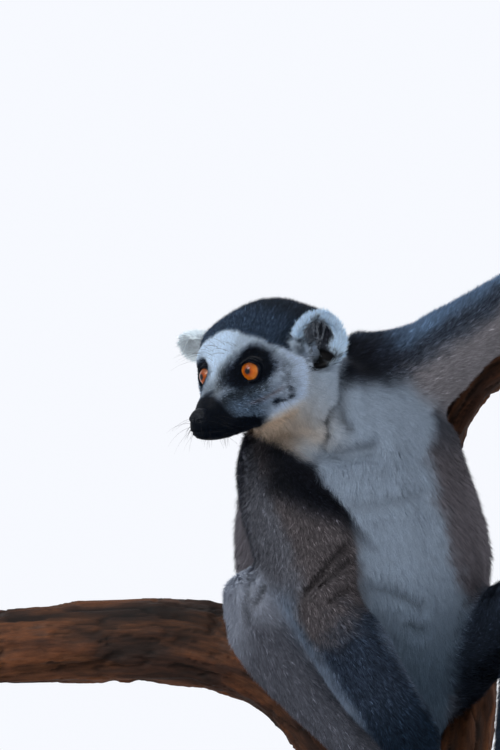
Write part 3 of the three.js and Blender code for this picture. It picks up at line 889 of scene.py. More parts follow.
def dark_mask(colour, h, fine, wander):
    """The blue-grey below the eyes, white fur with dark roots and painted shade; the dark cap; the black
    patches round the eyes.
    """
    x, y, z = mirrored(h).T
    mask = step(-5, -9, z) * step(-38, -28, z) * step(-9, 6, x + 1.5 * wander) * step(5, 11, y)
    under_lid = step(-16.5, -9.5, z + 0.6 * wander) * step(34, 24, y)
    tone = np.clip(1 + 0.22 * fine - 0.58 * under_lid, 0.3, 1.4)[:, None]
    colour = mix(colour, MASK_BLUE_AND_SHADE * tone, 0.95 * mask)
    # painted shade along the folds of skin below the eye
    under_eye = bell(np.hypot(y - 18, z - 1), 17.5, 1.1) * step(-10, -14, z) * step(14, 20, y)
    colour = mix(colour, EYE_FOLD_SHADE, 0.5 * under_eye)
    colour = mix(colour, SLATE * cap_tone(x, y)[:, None], cap_share(x, y, z + wander))
    patch = eye_patch(h) + 0.05 * wander
    fade = step(0, -9, z) * step(0.45, 0.95, patch)
    soft = mix(0.84, 0.70, step(16, 8, y))
    near_eye = np.clip((1.12 - patch) / (1.12 - soft), 0, 1)
    return mix(colour, mix(JET, 0.55 * MASK_BLUE_AND_SHADE, fade), near_eye * step(-16, -9, x))


def black_muzzle(colour, h, wander):
    """The black end of the muzzle, whose edge runs back along the lips."""
    x, _, z = h.T
    edge = np.interp(z, [-36.5, -28, -24.2, -22.6, -16.8, -12, -7.6, -4.9, 0],
                     [-6.9, 1.4, 8, 19, 23, 24, 23.3, 21, 20])
    past = x - edge + 0.6 * wander
    colour = colour * mix(1, 0.6, step(-6, 0, past) * step(-7, -13, z))[:, None]
    return mix(colour, JET, step(-0.6, 2.2, past))


# Dark marks on the left cheek, in the head's frame: place and size
CHEEK_MARKS = [((-3.8, 26.3, -19.7), (2.6, 3.0, 2.8)), ((-12.2, 30.9, -19.2), (2.4, 2.6, 1.5)),
               ((-11, 32, -14), (1.3, 2.5, 1.3)), ((-8, 28.5, -20), (2.4, 2.4, 0.9))]


def head_markings(points):
    """Colour of the head and face."""
    h = to_head(points)
    fine = noise(points, 1.6, 23)
    wander = 1.2 * noise(points, 9, 21) + 0.9 * noise(points, 3.2, 22) + 0.6 * fine
    colour = black_muzzle(dark_mask(pale_face(h, fine), h, fine, wander), h, wander)
    for place, size in CHEEK_MARKS:
        colour = mix(colour, JET, np.clip(blob(h, place, size) * (1.1 + 0.6 * fine), 0, 1))
    before_ear = blob(h, (-20.5, 35.5, 11), (4.2, 3.6, 7), 4)
    colour = mix(colour, mix(TEMPLE, BROW_WHITE, step(0.2, 0.7, 0.5 + fine)), before_ear)
    # painted shadow in the opening at the foot of the left ear
    return mix(colour, OPENING_SHADOW, np.clip(1.2 * ear_hole(h), 0, 1))


def arm_band_and_chin_shadow(points):
    """1 on the dark band across the top of the right arm: partly dark fur and partly painted shadow under the
    chin.
    """
    across = points @ vec(0.359, 0, 0.933) + 2.2 * noise(points, 14, 41)
    return step(172, 188, across) * step(-62, -43, points[:, 0])


def shoulder_band(points):
    """1 on the dark band from the nape over the left shoulder to the armpit."""
    x, high = points[:, 0], points[:, 2] + 2.5 * noise(points, 9, 43)
    return step(272, 287, high) * step(326, 300, high) * step(-12, -4, x) * step(46, 8, x)


def body_markings(points):
    """Colour of the neck, chest, belly, flanks and back, with painted shade low on the belly."""
    x, y, z = points.T
    away = off_axis("trunk", points)[1]
    turn = np.arctan2(away[:, 0], -away[:, 1]) - BELLY_TURN
    turn = (turn + math.pi) % (2 * math.pi) - math.pi
    wander = 0.10 * noise(points, 16, 31) + 0.05 * noise(points, 6, 32)
    levels = [40, 110, 180, 225, 262, 290]
    half_left = np.interp(z, levels, [0.95, 0.80, 0.62, 0.56, 0.78, 1.9])
    half_right = np.interp(z, levels, [0.95, 0.75, 0.70, 0.95, 1.3, 1.9])
    half = np.where(turn > 0, half_left, half_right)
    belly = step(half + 0.12, half - 0.12, np.abs(turn) + wander)
    back = mix(BACK, HIGH_BACK, step(230, 265, z))
    # painted shade: the belly darkens and turns bluer towards the bottom
    colour = mix(back, mix(SHADED_LOW_BELLY, CHEST, step(85, 185, z)), belly)
    throat = step(236, 250, z) * step(0.3, -0.5, turn) * step(4, -32, x)
    colour = mix(colour, THROAT, 0.75 * throat * belly)
    # the right arm's dark band, partly painted shadow under the chin, carried onto the trunk beside the arm
    beside_arm = step(203, 194, z + 1.23 * x) * step(236, 226, z) * step(-36, -46, y)
    colour = mix(colour, DARK_FUR_AND_SHADOW, arm_band_and_chin_shadow(points) * beside_arm)
    return mix(colour, DARK_FUR_AND_SHADOW, 0.95 * shoulder_band(points))


def left_arm_markings(points, away, t, wander):
    """Bluish on top as painted skylight, pale below, and slate from the elbow on."""
    under = away @ unit(vec(0.6, -0.2, -0.75)) + 60 * wander
    colour = mix(mix(SKYLIT_ARM_TOP, ARM_SIDE, step(-17, -6, under)), ARM_UNDER, step(-6, 9, under))
    colour = mix(colour, FOREARM, step(0.6, 0.9, t))
    return mix(colour, DARK_FUR_AND_SHADOW, 0.95 * shoulder_band(points))


def right_arm_markings(points, away, t, wander):
    """Brown-grey above the elbow and slate below it, with painted rim light along its edges."""
    x, _, z = points.T
    colour = mix(UPPER_ARM, mix(FOREARM, WRIST, step(0.78, 0.98, t)), step(0.42, 0.60, t + wander))
    sideways = away @ unit(vec(-0.85, -0.1, -0.5)) + 50 * wander
    below_elbow = step(165, 140, z)
    lit = step(0, 9, sideways - mix(4, 16, below_elbow))
    # painted rim light on the arm's edges, fainter above the elbow
    outer = np.maximum(lit, 0.7 * step(-13, -20, sideways) * step(0.5, 0.62, t))
    colour = mix(colour, mix(mix(UPPER_ARM, RIMLIT_FOREARM_EDGE, 0.35), RIMLIT_FOREARM_EDGE, below_elbow), outer)
    # the dark band, partly painted shadow under the chin
    colour = mix(colour, DARK_FUR_AND_SHADOW, arm_band_and_chin_shadow(points) * step(0.55, 0.36, t))
    throat = step(217, 224, z + 0.47 * x + 40 * wander) * step(-72, -64, x)
    return mix(colour, 0.85 * THROAT, throat)


def arm_markings(points, side):
    t, away = off_axis(f"arm_{side}", points)
    wander = 0.05 * noise(points, 14, 41) + 0.03 * noise(points, 5, 42)
    return (left_arm_markings if side == "left" else right_arm_markings)(points, away, t, wander)


def leg_markings(points):
    """Paler over the knee, darker again towards the foot, and darkest inside the left thigh, where shade is
    painted.
    """
    x, z = points[:, 0], points[:, 2]
    high = z + 6 * noise(points, 14, 44)
    knee = np.maximum(step(128, 156, high), 0.8 * step(100, 128, high) * step(-56, -72, x))
    colour = mix(mix(0.85 * LEG, LEG, step(30, 75, z)), KNEE, 0.92 * knee)
    return mix(colour, SHADED_LEG, 0.85 * step(114, 96, x) * step(50, 66, x))


def tail_markings(points):
    t, _ = along("tail", points)
    ring = (t + 0.004 * noise(points, 5, 51)) * TAIL_RINGS
    black = step(-0.14, 0.14, np.sin(2 * math.pi * (ring + 0.05)))
    black = np.maximum(black, step(0.94, 0.955, t))
    return mix(TAIL_WHITE, TAIL_BLACK, black)


def ear_markings(points, side):
    x, y, front = ear_front(EARS[side], points)
    wander = 0.12 * noise(points, 1.8, 61)
    bowl = front * ear_bowl(x, y, wander)
    if side == "right":
        # the far ear is painted paler than the near one, as painted light
        return mix(LIT_FAR_EAR_WHITE, EAR_PALE, 0.25 * bowl)
    turn = np.arctan2(y + 1.0, x + 0.1)
    streak = noise(np.column_stack([10 * turn, 1.1 * np.hypot(x, y), 0 * turn]), 0.5, 62)
    front_hair = step(0.15, -0.5, x + 0.5 * wander)
    low_hair = 0.3 * step(0.35, -0.25, y)
    inner = mix(EAR_DARK, EAR_PALE, np.clip(step(-0.1, 0.5, streak) + 0.6 * front_hair + low_hair, 0, 1))
    colour = mix(EAR_WHITE, inner, bowl)
    # painted shadow in the ear's opening
    hole = np.maximum(front * ear_opening(x, y, wander), np.clip(1.2 * ear_hole(to_head(points)), 0, 1))
    return mix(colour, OPENING_SHADOW, hole)


def markings(points, shares):
    """Written colour of the coat at each point, from the parts that own it, with painted shade along the
    folds.
    """
    hand = np.tile(HAND, (len(points), 1))
    own = [(("head",), head_markings(points)), (("trunk",), body_markings(points))]
    for side in SIDES:
        own += [((f"arm_{side}",), arm_markings(points, side)),
                ((f"thigh_{side}", f"shin_{side}"), leg_markings(points)),
                ((f"hand_{side}", f"foot_{side}"), hand),
                ((f"ear_{side}",), ear_markings(points, side))]
    own.append((("tail",), tail_markings(points)))
    total = sum(share(shares, *parts)[:, None] * colour for parts, colour in own)
    return total * fold_shade(points)[:, None]


# ---------------------------------------------------------------- the coat

# name: (parts, slot, tufts, hairs in a tuft, spread of the roots in mm, joints of a hair,
#        unevenness of tone, share of pale-tipped hairs where the coat is dark)
COAT = {
    "head": (["head"], "coat_crown", 84000, 4, 0.6, 1, 0.20, 0.20),
    "ears": (["ear_left", "ear_right"], "coat_pale", 9000, 3, 0.6, 2, 0.14, 0.16),
    "trunk": (["trunk"], "coat_pale", 94000, 4, 1.5, 1, 0.11, 0.0),
    "arms": (["arm_left", "arm_right"], "coat_grey", 66000, 4, 0.8, 1, 0.20, 0.045),
    "legs": (["thigh_left", "thigh_right", "shin_left", "shin_right"], "coat_grey",
             54000, 4, 0.8, 1, 0.14, 0.05),
    "paws": (["hand_left", "hand_right", "foot_left", "foot_right"], "coat_grey",
             12000, 3, 0.5, 1, 0.16, 0.05),
    "tail": (["tail"], "coat_pale", 13000, 4, 1.5, 2, 0.06, 0.0),
}
PATCH = 0.003  # the size of a tuft's patch on the unwrap
PIECE_LIMIT = 190000  # triangles in one piece of coat
HAIR_WIDTHS = {1: (1.0, 0.0), 2: (0.85, 1.0, 0.0)}  # of full width, from root to tip, by number of joints
HAIR_SHADES = {1: (0.88, 1.07), 2: (0.92, 1.0, 1.04)}  # of the coat's own tone
PALE_TIP = 2.6  # how much paler the odd light-tipped hair of a dark coat is


def surface(obj):
    """The skin's triangles with their unwrap, for setting tufts on."""
    mesh = obj.data
    mesh.calc_loop_triangles()
    triangles = mesh.loop_triangles
    uv = read(mesh.uv_layers["OFBake"].data, "uv", 2)
    return read(triangles, "vertices", 3, np.int64), uv[read(triangles, "loops", 3, np.int64)]


def on_triangles(values, corners, chosen, weights):
    """Values at places in the chosen triangles, from those at their corners."""
    return (values[corners[chosen]] * weights.reshape(weights.shape + (1,) * (values.ndim - 1))).sum(1)


def coat_fields():
    """What the tufts need to know at each point of the skin."""
    points, edges, normals = arrays(skin.data)
    depth, length, width = (spread(v, edges, 4) for v in coat_plan(points, skin_shares, skin_folds))
    return {"points": points, "normals": normals, "flow": lay_of_coat(points, normals, edges, skin_part),
            "depth": depth, "length": length, "width": width, "shares": skin_shares,
            "thick": grows(points, skin_shares)}


def grows(points, shares):
    """How thickly hair grows at each point: none under the eyeballs, on the lids' rims or the nose."""
    h = to_head(points)
    reach, angle = eye_polar(h)
    bare = (reach < 13) & (angle < EYE_OPENING + math.radians(17))
    nose = np.linalg.norm((h - NOSE_CENTRE) / vec(6.5, 8, 7), axis=1) < 1
    thick = np.where(bare | nose, 0.0, 1.0 - np.clip(1.5 * ear_hole(h), 0, 1))
    head = share(shares, "head")
    face = step(-26, -10, h[:, 0]) * head
    neck = step(225, 262, points[:, 2]) * share(shares, "trunk")
    crown = step(2, 16, h[:, 2]) * head
    for side, ear in EARS.items():
        x, y, front = ear_front(ear, points)
        bald = front * np.maximum(0.6 * ear_bowl(x, y), ear_opening(x, y) * (ear["side"] > 0))
        thick = thick * (1 - share(shares, f"ear_{side}") * bald)
    return thick * (1 + 2.2 * face) * (1 + 0.8 * crown) * (1 + 1.6 * neck)


def tuft_roots(parts, count, fields, corners, uv, random):
    """Picks where the tufts of some parts stand, and what the skin says there."""
    own = np.isin(skin_part[corners[:, 0]], [PARTS.index(name) for name in parts])
    p = fields["points"][corners]
    area = np.linalg.norm(np.cross(p[:, 1] - p[:, 0], p[:, 2] - p[:, 0]), axis=1)
    chance = area * fields["thick"][corners].mean(1) * own
    total = np.cumsum(chance)
    chosen = np.searchsorted(total, random.random(count) * total[-1])
    weights = random.dirichlet((1, 1, 1), count)
    roots = {key: on_triangles(fields[key], corners, chosen, weights)
             for key in ("points", "normals", "flow", "depth", "length", "width", "shares")}
    roots["uv"] = (uv[chosen] * weights[:, :, None]).sum(1)
    roots["normals"] = unit(roots["normals"])
    return roots


def turned(a, b, angle):
    """The way from a towards b by an angle."""
    return a * np.cos(angle)[..., None] + b * np.sin(angle)[..., None]


def hair_tones(roots, shape, uneven, pale, random):
    """Each hair's own tone of its tuft's colour, with odd pale hairs where the coat is dark."""
    dark = step(0.30, 0.02, roots["colour"].mean(-1))[:, None]
    tuft, hair = random.normal(0, 1, (shape[0], 1)), random.normal(0, 0.6, shape)
    tone = np.clip(np.exp((tuft + hair) * (uneven * (0.7 + 1.8 * dark))), 0.35, 3.0)
    for size in ((shape[0], 1), shape):
        tone = tone * np.where(random.random(size) < 0.5 * pale * dark, PALE_TIP, 1.0)
    return roots["colour"][:, None] * tone[..., None]


def hairs(roots, per, spread_mm, joints, uneven, pale, even, random):
    """Points, normals, colours and unwrap of every hair of a group: (tufts, hairs, rows, 3)."""
    shape = (len(roots["points"]), per)

    def vary(tuft, hair):
        return random.normal(0, tuft, (shape[0], 1)) + random.normal(0, hair, shape)

    n, f = roots["normals"][:, None], roots["flow"][:, None]
    f = unit(f - n * (f * n).sum(-1, keepdims=True))
    side = np.cross(f, n)
    length, depth = roots["length"][:, None], roots["depth"][:, None]
    depth = np.where(depth < 0.3, 0.42 * length, depth)
    ahead = turned(f, side, vary(0.15, 0.14))
    lift = np.arcsin(np.clip(depth / np.maximum(length, 0.1), 0.05, 0.93))
    lift = lift * (1 + np.clip(vary(0.16, 0.16), -0.5, 0.6))
    long = length * np.clip(1 + vary(0.10, 0.13), 0.5, 1.3)
    away = turned(f, side, random.random(shape) * 2 * math.pi)
    away = away * (np.sqrt(random.random(shape)) * spread_mm * np.clip(length / 8, 0.45, 1.2))[..., None]
    edge = turned(np.cross(ahead, n), n, random.normal(0, 0.45, shape))
    wide = roots["width"][:, None] * np.clip(1 + random.normal(0, 0.15, shape), 0.6, 1.5)
    colour = hair_tones(roots, shape, uneven, pale, random)

    rows = joints + 1
    points, normals, colours = (np.empty(shape + (rows, 2, 3)) for _ in range(3))
    patch = np.empty(shape + (rows, 2, 2))
    place = roots["points"][:, None] + away - n * 0.5
    column = (np.arange(per) - (per - 1) / 2) / per
    for row in range(rows):
        s = row / joints
        slope = turned(ahead, n, lift * (1.45 - 0.9 * (s + 0.5 / joints)))
        half = 0.5 * wide * HAIR_WIDTHS[joints][row]
        facing = unit(even * n + (1 - even) * unit(np.cross(edge, slope)))
        for k, sign in enumerate((-1, 1)):
            points[:, :, row, k] = place - 0.4 * s * away + edge * (sign * half)[..., None]
            normals[:, :, row, k] = unit(facing + 0.9 * (1 - even) * sign * edge)
            colours[:, :, row, k] = colour * HAIR_SHADES[joints][row]
            patch[:, :, row, k, 0] = roots["uv"][:, 0:1] + (column + sign * 0.35 / per) * PATCH
            patch[:, :, row, k, 1] = roots["uv"][:, 1:2] + (s - 0.5) * PATCH
        place = place + slope * (long / joints)[..., None]
    return points, normals, colours, patch


def tint(mesh, rgb):
    """Gives a mesh the colours that the coat's material reads."""
    layer = mesh.attributes.new("coat", "FLOAT_COLOR", "POINT")
    layer.data.foreach_set("color", np.column_stack([rgb, np.ones(len(rgb))]).astype(np.float32).ravel())


def hair_mesh(name, points, normals, colours, patch):
    """Builds one piece of coat. The last row of each hair is its single tip."""
    count, per, rows = points.shape[:3]
    used = np.ones((rows, 2), bool)
    used[-1, 1] = False

    def flat(values):
        return values.reshape(count * per, rows * 2, -1)[:, used.ravel()]

    size = rows * 2 - 1
    triangles = []
    for row in range(rows - 2):
        a = row * 2
        triangles += [(a, a + 1, a + 3), (a, a + 3, a + 2)]
    triangles.append((size - 3, size - 2, size - 1))
    triangles = np.array(triangles)
    corner = (np.arange(count * per)[:, None, None] * size + triangles[None]).reshape(-1)
    mesh = bpy.data.meshes.new(name)
    mesh.vertices.add(count * per * size)
    mesh.vertices.foreach_set("co", placed(flat(points).reshape(-1, 3)).ravel())
    mesh.loops.add(len(corner))
    mesh.loops.foreach_set("vertex_index", corner.astype(np.int32))
    mesh.polygons.add(len(corner) // 3)
    mesh.polygons.foreach_set("loop_start", np.arange(0, len(corner), 3, dtype=np.int32))
    mesh.update(calc_edges=True)
    mesh.polygons.foreach_set("use_smooth", np.ones(len(mesh.polygons), bool))
    tint(mesh, flat(colours).reshape(-1, 3))
    layer = mesh.uv_layers.new(name="OFBake")
    layer.data.foreach_set("uv", flat(patch).reshape(-1, 2)[corner].astype(np.float32).ravel())
    mesh.normals_split_custom_set_from_vertices(flat(normals).reshape(-1, 3))
    return mesh


def grow_coat():
    """Every piece of the coat, with the slot that it fills."""
    corners, uv = surface(skin)
    fields = coat_fields()
    pieces = []
    for index, (group, (parts, slot, count, per, spread_mm, joints, uneven, pale)) in enumerate(COAT.items()):
        random = np.random.default_rng(SEED + index)
        roots = tuft_roots(parts, count, fields, corners, uv, random)
        roots["colour"] = linear(markings(roots["points"], roots["shares"]))
        even = 0.90 if group == "trunk" else 0.85  # share of the skin's own normal in the hairs'
        made = hairs(roots, per, spread_mm, joints, uneven, pale, even, random)
        needed = math.ceil(count * per * (2 * joints - 1) / PIECE_LIMIT)
        for number, some in enumerate(np.array_split(np.arange(count), needed), 1):
            name = f"coat_{group}_{number}"
            pieces.append((slot, new_object(name, hair_mesh(name, *(a[some] for a in made)))))
    return pieces


def paint_skin():
    """The markings on the skin itself, darker under the fur than its tips."""
    points, _, _ = arrays(skin.data)
    bare = 1 - step(1.0, 3.0, coat_plan(points, skin_shares, skin_folds)[1])
    tint(skin.data, linear(markings(points, skin_shares)) * mix(0.88, 0.95, bare)[:, None])


# Where stiff hairs stand on each side of the head, in its own frame: root, direction, length in mm,
# number, width in mm
WHISKERS = [
    ((33, 8.5, -21.5), (0.1, 0.9, 0.1), 22, 4, 0.13),
    ((28, 10.5, -24.5), (0.0, 0.9, -0.30), 18, 5, 0.13),
    ((38, 5, -24), (0.7, 0.5, -0.5), 7, 7, 0.13),
    ((3, 7, 16), (0.75, 0.0, 0.65), 22, 7, 0.15),
    ((24, 6, -33), (0.4, 0.2, -0.9), 6, 9, 0.13),
    ((-10, 30, -21), (0.35, 0.8, -0.4), 12, 4, 0.14),
    ((-2, 24, 13), (0.5, 0.8, 0.3), 22, 5, 0.13),
]
WHISKER_ROWS = 8
WHISKER_BLACK = (0.006, 0.006, 0.007)


def whisker_roots(random):
    """Where each stiff hair stands on the skin and on its unwrap, its direction, length and width."""
    roots, ways, lengths, widths = [], [], [], []
    for root, way, length, number, width in WHISKERS:
        for side in (-1, 1):
            roots.append((vec(*root) + random.normal(0, 2.4, (number, 3))) * vec(1, side, 1))
            ways.append(unit(unit(vec(*way)) + random.normal(0, 0.2, (number, 3))) * vec(1, side, 1))
            lengths.append(length * random.uniform(0.6, 1.15, number))
            widths.append(np.full(number, width))
    tree = surface_tree(skin.data)
    found = [tree.find_nearest(Vector(p)) for p in from_head(np.vstack(roots))]
    unwrapped = skin.data.uv_layers["OFBake"].data
    places = np.array([unwrapped[skin.data.polygons[hit[2]].loop_start].uv for hit in found])
    roots = np.array([hit[0] for hit in found])[:, None]
    ways = (np.vstack(ways) @ HEAD_AXES)[:, None]
    lengths, widths = (np.concatenate(values)[:, None, None] for values in (lengths, widths))
    return roots, places, ways, lengths, widths


def whiskers():
    """Whiskers, brow hairs and chin hairs: single long hairs that curve back and down."""
    roots, places, ways, lengths, widths = whisker_roots(np.random.default_rng(SEED + 50))
    s = np.linspace(0, 1, WHISKER_ROWS)[None, :, None]
    line = roots + ways * (lengths * s) + vec(0.12, 0.16, -0.32) * (lengths * s * s)
    tangent = unit(np.gradient(line, axis=1))
    edge = unit(np.cross(tangent, vec(0, 1, 0)))
    half = 0.5 * widths * (1 - s) ** 0.6
    shape = (len(roots), 1, WHISKER_ROWS, 2)
    points, normals, patch = np.empty(shape + (3,)), np.empty(shape + (3,)), np.empty(shape + (2,))
    for k, sign in enumerate((-1, 1)):
        points[:, 0, :, k] = line + edge * sign * half
        normals[:, 0, :, k] = unit(np.cross(edge, tangent))
        patch[:, 0, :, k, 0] = places[:, 0:1] + 0.3 * sign * PATCH
        patch[:, 0, :, k, 1] = places[:, 1:2] + (s[0, :, 0] - 0.5) * PATCH
    colours = np.tile(WHISKER_BLACK, shape + (1,))
    return new_object("coat_whiskers", hair_mesh("coat_whiskers", points, normals, colours, patch))


paint_skin()
coat_pieces = grow_coat()
coat_pieces.append(("coat_crown", whiskers()))


# ---------------------------------------------------------------- materials

def feed(tree, socket, value):
    """Links a socket to another node's output, or sets it."""
    if isinstance(value, bpy.types.NodeSocket):
        tree.links.new(value, socket)
    else:
        socket.default_value = value


def maths(tree, operation, *values):
    node = tree.nodes.new("ShaderNodeMath")
    node.operation = operation
    for socket, value in zip(node.inputs, values):
        feed(tree, socket, value)
    return node.outputs["Value"]


class Nodes:
    """A short way to write a material's nodes."""

    def __init__(self, name, **settings):
        self.material = bpy.data.materials.new(name)
        self.material.use_nodes = True
        self.tree = self.material.node_tree
        self.shader = self.tree.nodes["Principled BSDF"]
        for key, value in settings.items():
            self.shader.inputs[key.replace("_", " ")].default_value = value

    def add(self, kind, **inputs):
        node = self.tree.nodes.new(kind)
        for key, value in inputs.items():
            feed(self.tree, node.inputs[key.replace("_", " ")], value)
        return node

    def maths(self, operation, *values):
        return maths(self.tree, operation, *values)

    def vector(self, operation, *values):
        """The result of a vector's arithmetic: a length, or else a vector."""
        node = self.tree.nodes.new("ShaderNodeVectorMath")
        node.operation = operation
        for socket, value in zip(node.inputs, values):
            feed(self.tree, socket, value)
        return node.outputs["Value" if operation == "LENGTH" else "Vector"]

    def colour(self, output):
        self.tree.links.new(output, self.shader.inputs["Base Color"])

    def attribute(self, name, kind):
        node = self.tree.nodes.new("ShaderNodeAttribute")
        node.attribute_name = name
        return node.outputs[kind]

    def parts_of(self, vector):
        return self.add("ShaderNodeSeparateXYZ", Vector=vector).outputs

    def noise(self, vector, scale, detail=3.0, roughness=0.55):
        node = self.add("ShaderNodeTexNoise", Vector=vector, Scale=scale, Detail=detail, Roughness=roughness)
        return node.outputs["Fac"]

    def position(self):
        return self.tree.nodes.new("ShaderNodeTexCoord").outputs["Object"]

    def ramp(self, factor, *stops):
        """Colours, or greys given as one number, along a factor."""
        node = self.add("ShaderNodeValToRGB", Fac=factor)
        elements = node.color_ramp.elements
        while len(elements) < len(stops):
            elements.new(0.5)
        for element, (place, colour) in zip(elements, stops):
            element.position = place
            element.color = (*(colour if isinstance(colour, tuple) else (colour,) * 3), 1)
        return node.outputs["Color"]

    def blend(self, kind, factor, a, b):
        node = self.tree.nodes.new("ShaderNodeMix")
        node.data_type = "RGBA"
        node.blend_type = kind
        for index, value in ((0, factor), (6, a), (7, b)):
            feed(self.tree, node.inputs[index], value)
        return node.outputs[2]

    def bump(self, height, strength, distance):
        node = self.add("ShaderNodeBump", Height=height, Strength=strength, Distance=distance)
        self.tree.links.new(node.outputs["Normal"], self.shader.inputs["Normal"])


def coat_material():
    m = Nodes("coat", Roughness=0.75, Sheen_Weight=0.015, Sheen_Roughness=0.5, Specular_IOR_Level=0.04)
    fleck = m.ramp(m.noise(m.position(), 900), (0.3, 0.72), (0.7, 1.1))
    m.colour(m.blend("MULTIPLY", 0.5, m.attribute("coat", "Color"), fleck))
    return m.material


def skin_material():
    m = Nodes("skin", Roughness=0.4, Specular_IOR_Level=0.035)
    fleck = m.ramp(m.noise(m.position(), 1400, 4), (0.25, 0.6), (0.75, 1.15))
    m.colour(m.blend("MULTIPLY", 0.6, m.attribute("coat", "Color"), fleck))
    m.bump(m.noise(m.position(), 2200, 3), 0.35, 0.0006)
    return m.material


def finish_piece(obj, slot, material, *replaced):
    obj.data.materials.clear()
    obj.data.materials.append(material)
    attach(obj, "root")
    if replaced:
        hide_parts(*replaced)


fur = coat_material()
finish_piece(skin, "coat_grey", skin_material(), *PART_OF_NODE)
for slot, piece in coat_pieces:
    finish_piece(piece, slot, fur)


# ---------------------------------------------------------------- eyes and nose

EYE_ROWS, EYE_COLUMNS = 56, 64
CORNEA_RISE = 0.9  # how far the cornea stands proud of the ball
CORNEA_HALF = math.radians(46)
PUPIL_RADIUS = 1.4


def ball_object(name, points, rows, columns):
    """A closed smooth mesh from the points that ball_angles places."""
    mesh = bpy.data.meshes.new(name)
    mesh.from_pydata(placed(points).tolist(), [], ball_faces(rows, columns))
    mesh.validate()
    bm = bmesh.new()
    bm.from_mesh(mesh)
    bmesh.ops.recalc_face_normals(bm, faces=bm.faces)
    bm.to_mesh(mesh)
    bm.free()
    mesh.shade_smooth()
    return new_object(name, mesh)


def point_attribute(mesh, name, values):
    layer = mesh.attributes.new(name, "FLOAT_VECTOR", "POINT")
    layer.data.foreach_set("vector", np.asarray(values, np.float32).ravel())


def eyeball(side, sign):
    """The eye with its cornea, and `iris`, which places each point on the iris for its finish."""
    off, turn = ball_angles(EYE_ROWS, EYE_COLUMNS)
    upward = unit(vec(0, 0, 1) - EYE_AXIS * EYE_AXIS[2])
    round_axis = upward * np.sin(turn)[:, None] + np.cross(EYE_AXIS, upward) * np.cos(turn)[:, None]
    reach = EYE_RADIUS + CORNEA_RISE * np.cos(np.minimum(off / CORNEA_HALF, 1) * math.pi / 2) ** 2
    direction = EYE_AXIS * np.cos(off)[:, None] + round_axis * np.sin(off)[:, None]
    points = (EYE_CENTRE + direction * reach[:, None]) * vec(1, sign, 1)
    points = points - vec(0, 0, FAR_EYE_DROP if sign < 0 else 0)
    obj = ball_object(f"eyeball_{side}", from_head(points), EYE_ROWS, EYE_COLUMNS)
    flat = EYE_RADIUS * np.sin(np.minimum(off, math.pi / 2))
    point_attribute(obj.data, "iris", np.column_stack([flat * np.cos(turn), flat * np.sin(turn), off]))
    return obj


def eye_material():
    """Dark pupil, red-brown ring, bright orange with fibres, a dark edge, then the brown of the ball; painted
    lid shadow on top.
    """
    m = Nodes("eye", Roughness=0.3, Specular_IOR_Level=0.05, Coat_Weight=1.0, Coat_Roughness=0.02,
              Coat_IOR=1.25)
    place = m.attribute("iris", "Vector")
    flat = m.vector("MULTIPLY", place, (1, 1, 0))
    fibre = m.noise(m.vector("NORMALIZE", flat), 9, 6, 0.7)
    out = m.maths("MULTIPLY_ADD", fibre, 0.5, m.vector("LENGTH", flat))
    edge = PUPIL_RADIUS / EYE_RADIUS + 0.03
    colour = m.ramp(m.maths("DIVIDE", out, EYE_RADIUS),
                    (edge - 0.02, (0.004, 0.003, 0.003)), (edge + 0.03, (0.14, 0.03, 0.008)),
                    (0.30, (0.34, 0.055, 0.003)), (0.48, (0.56, 0.13, 0.005)), (0.68, (0.55, 0.17, 0.014)),
                    (0.74, (0.16, 0.045, 0.01)), (0.78, (0.010, 0.008, 0.008)))
    colour = m.blend("MULTIPLY", 0.55, colour, m.ramp(fibre, (0.3, 0.62), (0.65, 1.15)))
    cloud = m.ramp(m.noise(flat, 0.35, 3), (0.35, (0.75, 0.62, 0.55)), (0.6, 1.0))
    colour = m.blend("MULTIPLY", 0.6, colour, cloud)
    height = m.maths("MULTIPLY_ADD", m.parts_of(place)["Y"], 0.5 / EYE_RADIUS, 0.5)
    # painted shadow of the upper lid over the top of the iris
    under_lid = m.ramp(height, (0.53, 1.0), (0.76, (0.38, 0.33, 0.33)))
    m.colour(m.blend("MULTIPLY", 1.0, colour, under_lid))
    return m.material


NOSE_ROWS, NOSE_COLUMNS = 56, 72
NOSE_SIZE = vec(4.4, 6.2, 6.0)


def nose_pad():
    """The moist pad of the nose, with comma-shaped nostrils and the groove between them."""
    off, turn = ball_angles(NOSE_ROWS, NOSE_COLUMNS)
    d = np.column_stack([np.cos(off), np.sin(off) * np.cos(turn), np.sin(off) * np.sin(turn)])
    square = (np.abs(d) ** 2.6).sum(1) ** (-1 / 2.6)
    p = d * square[:, None] * NOSE_SIZE
    p[:, 0] -= 1.1 * step(1, 5, -p[:, 2]) + 0.55 * np.maximum(p[:, 2], 0)
    y, z = np.abs(p[:, 1]), p[:, 2]
    front = step(-0.2, 0.5, d[:, 0] + 0.6 * np.abs(d[:, 1]))
    hole = bell(y, 3.7, 1.35) * bell(z, -0.6, 1.15)
    slit = bell(y, 5.4, 1.5) * bell(z, -1.4 - 0.25 * (y - 5.4), 0.6)
    groove = bell(y, 0, 0.55) * step(2.2, -1.0, z)
    wing = bell(y, 4.6, 2.0) * bell(z, 1.3, 1.2)
    push = -2.6 * np.maximum(hole, 0.75 * slit) - 0.7 * groove + 0.5 * wing
    p = p + d * (push * front + 0.06 * noise(p, 0.7, 61))[:, None]
    return ball_object("nose_pad", from_head(p + NOSE_CENTRE), NOSE_ROWS, NOSE_COLUMNS)


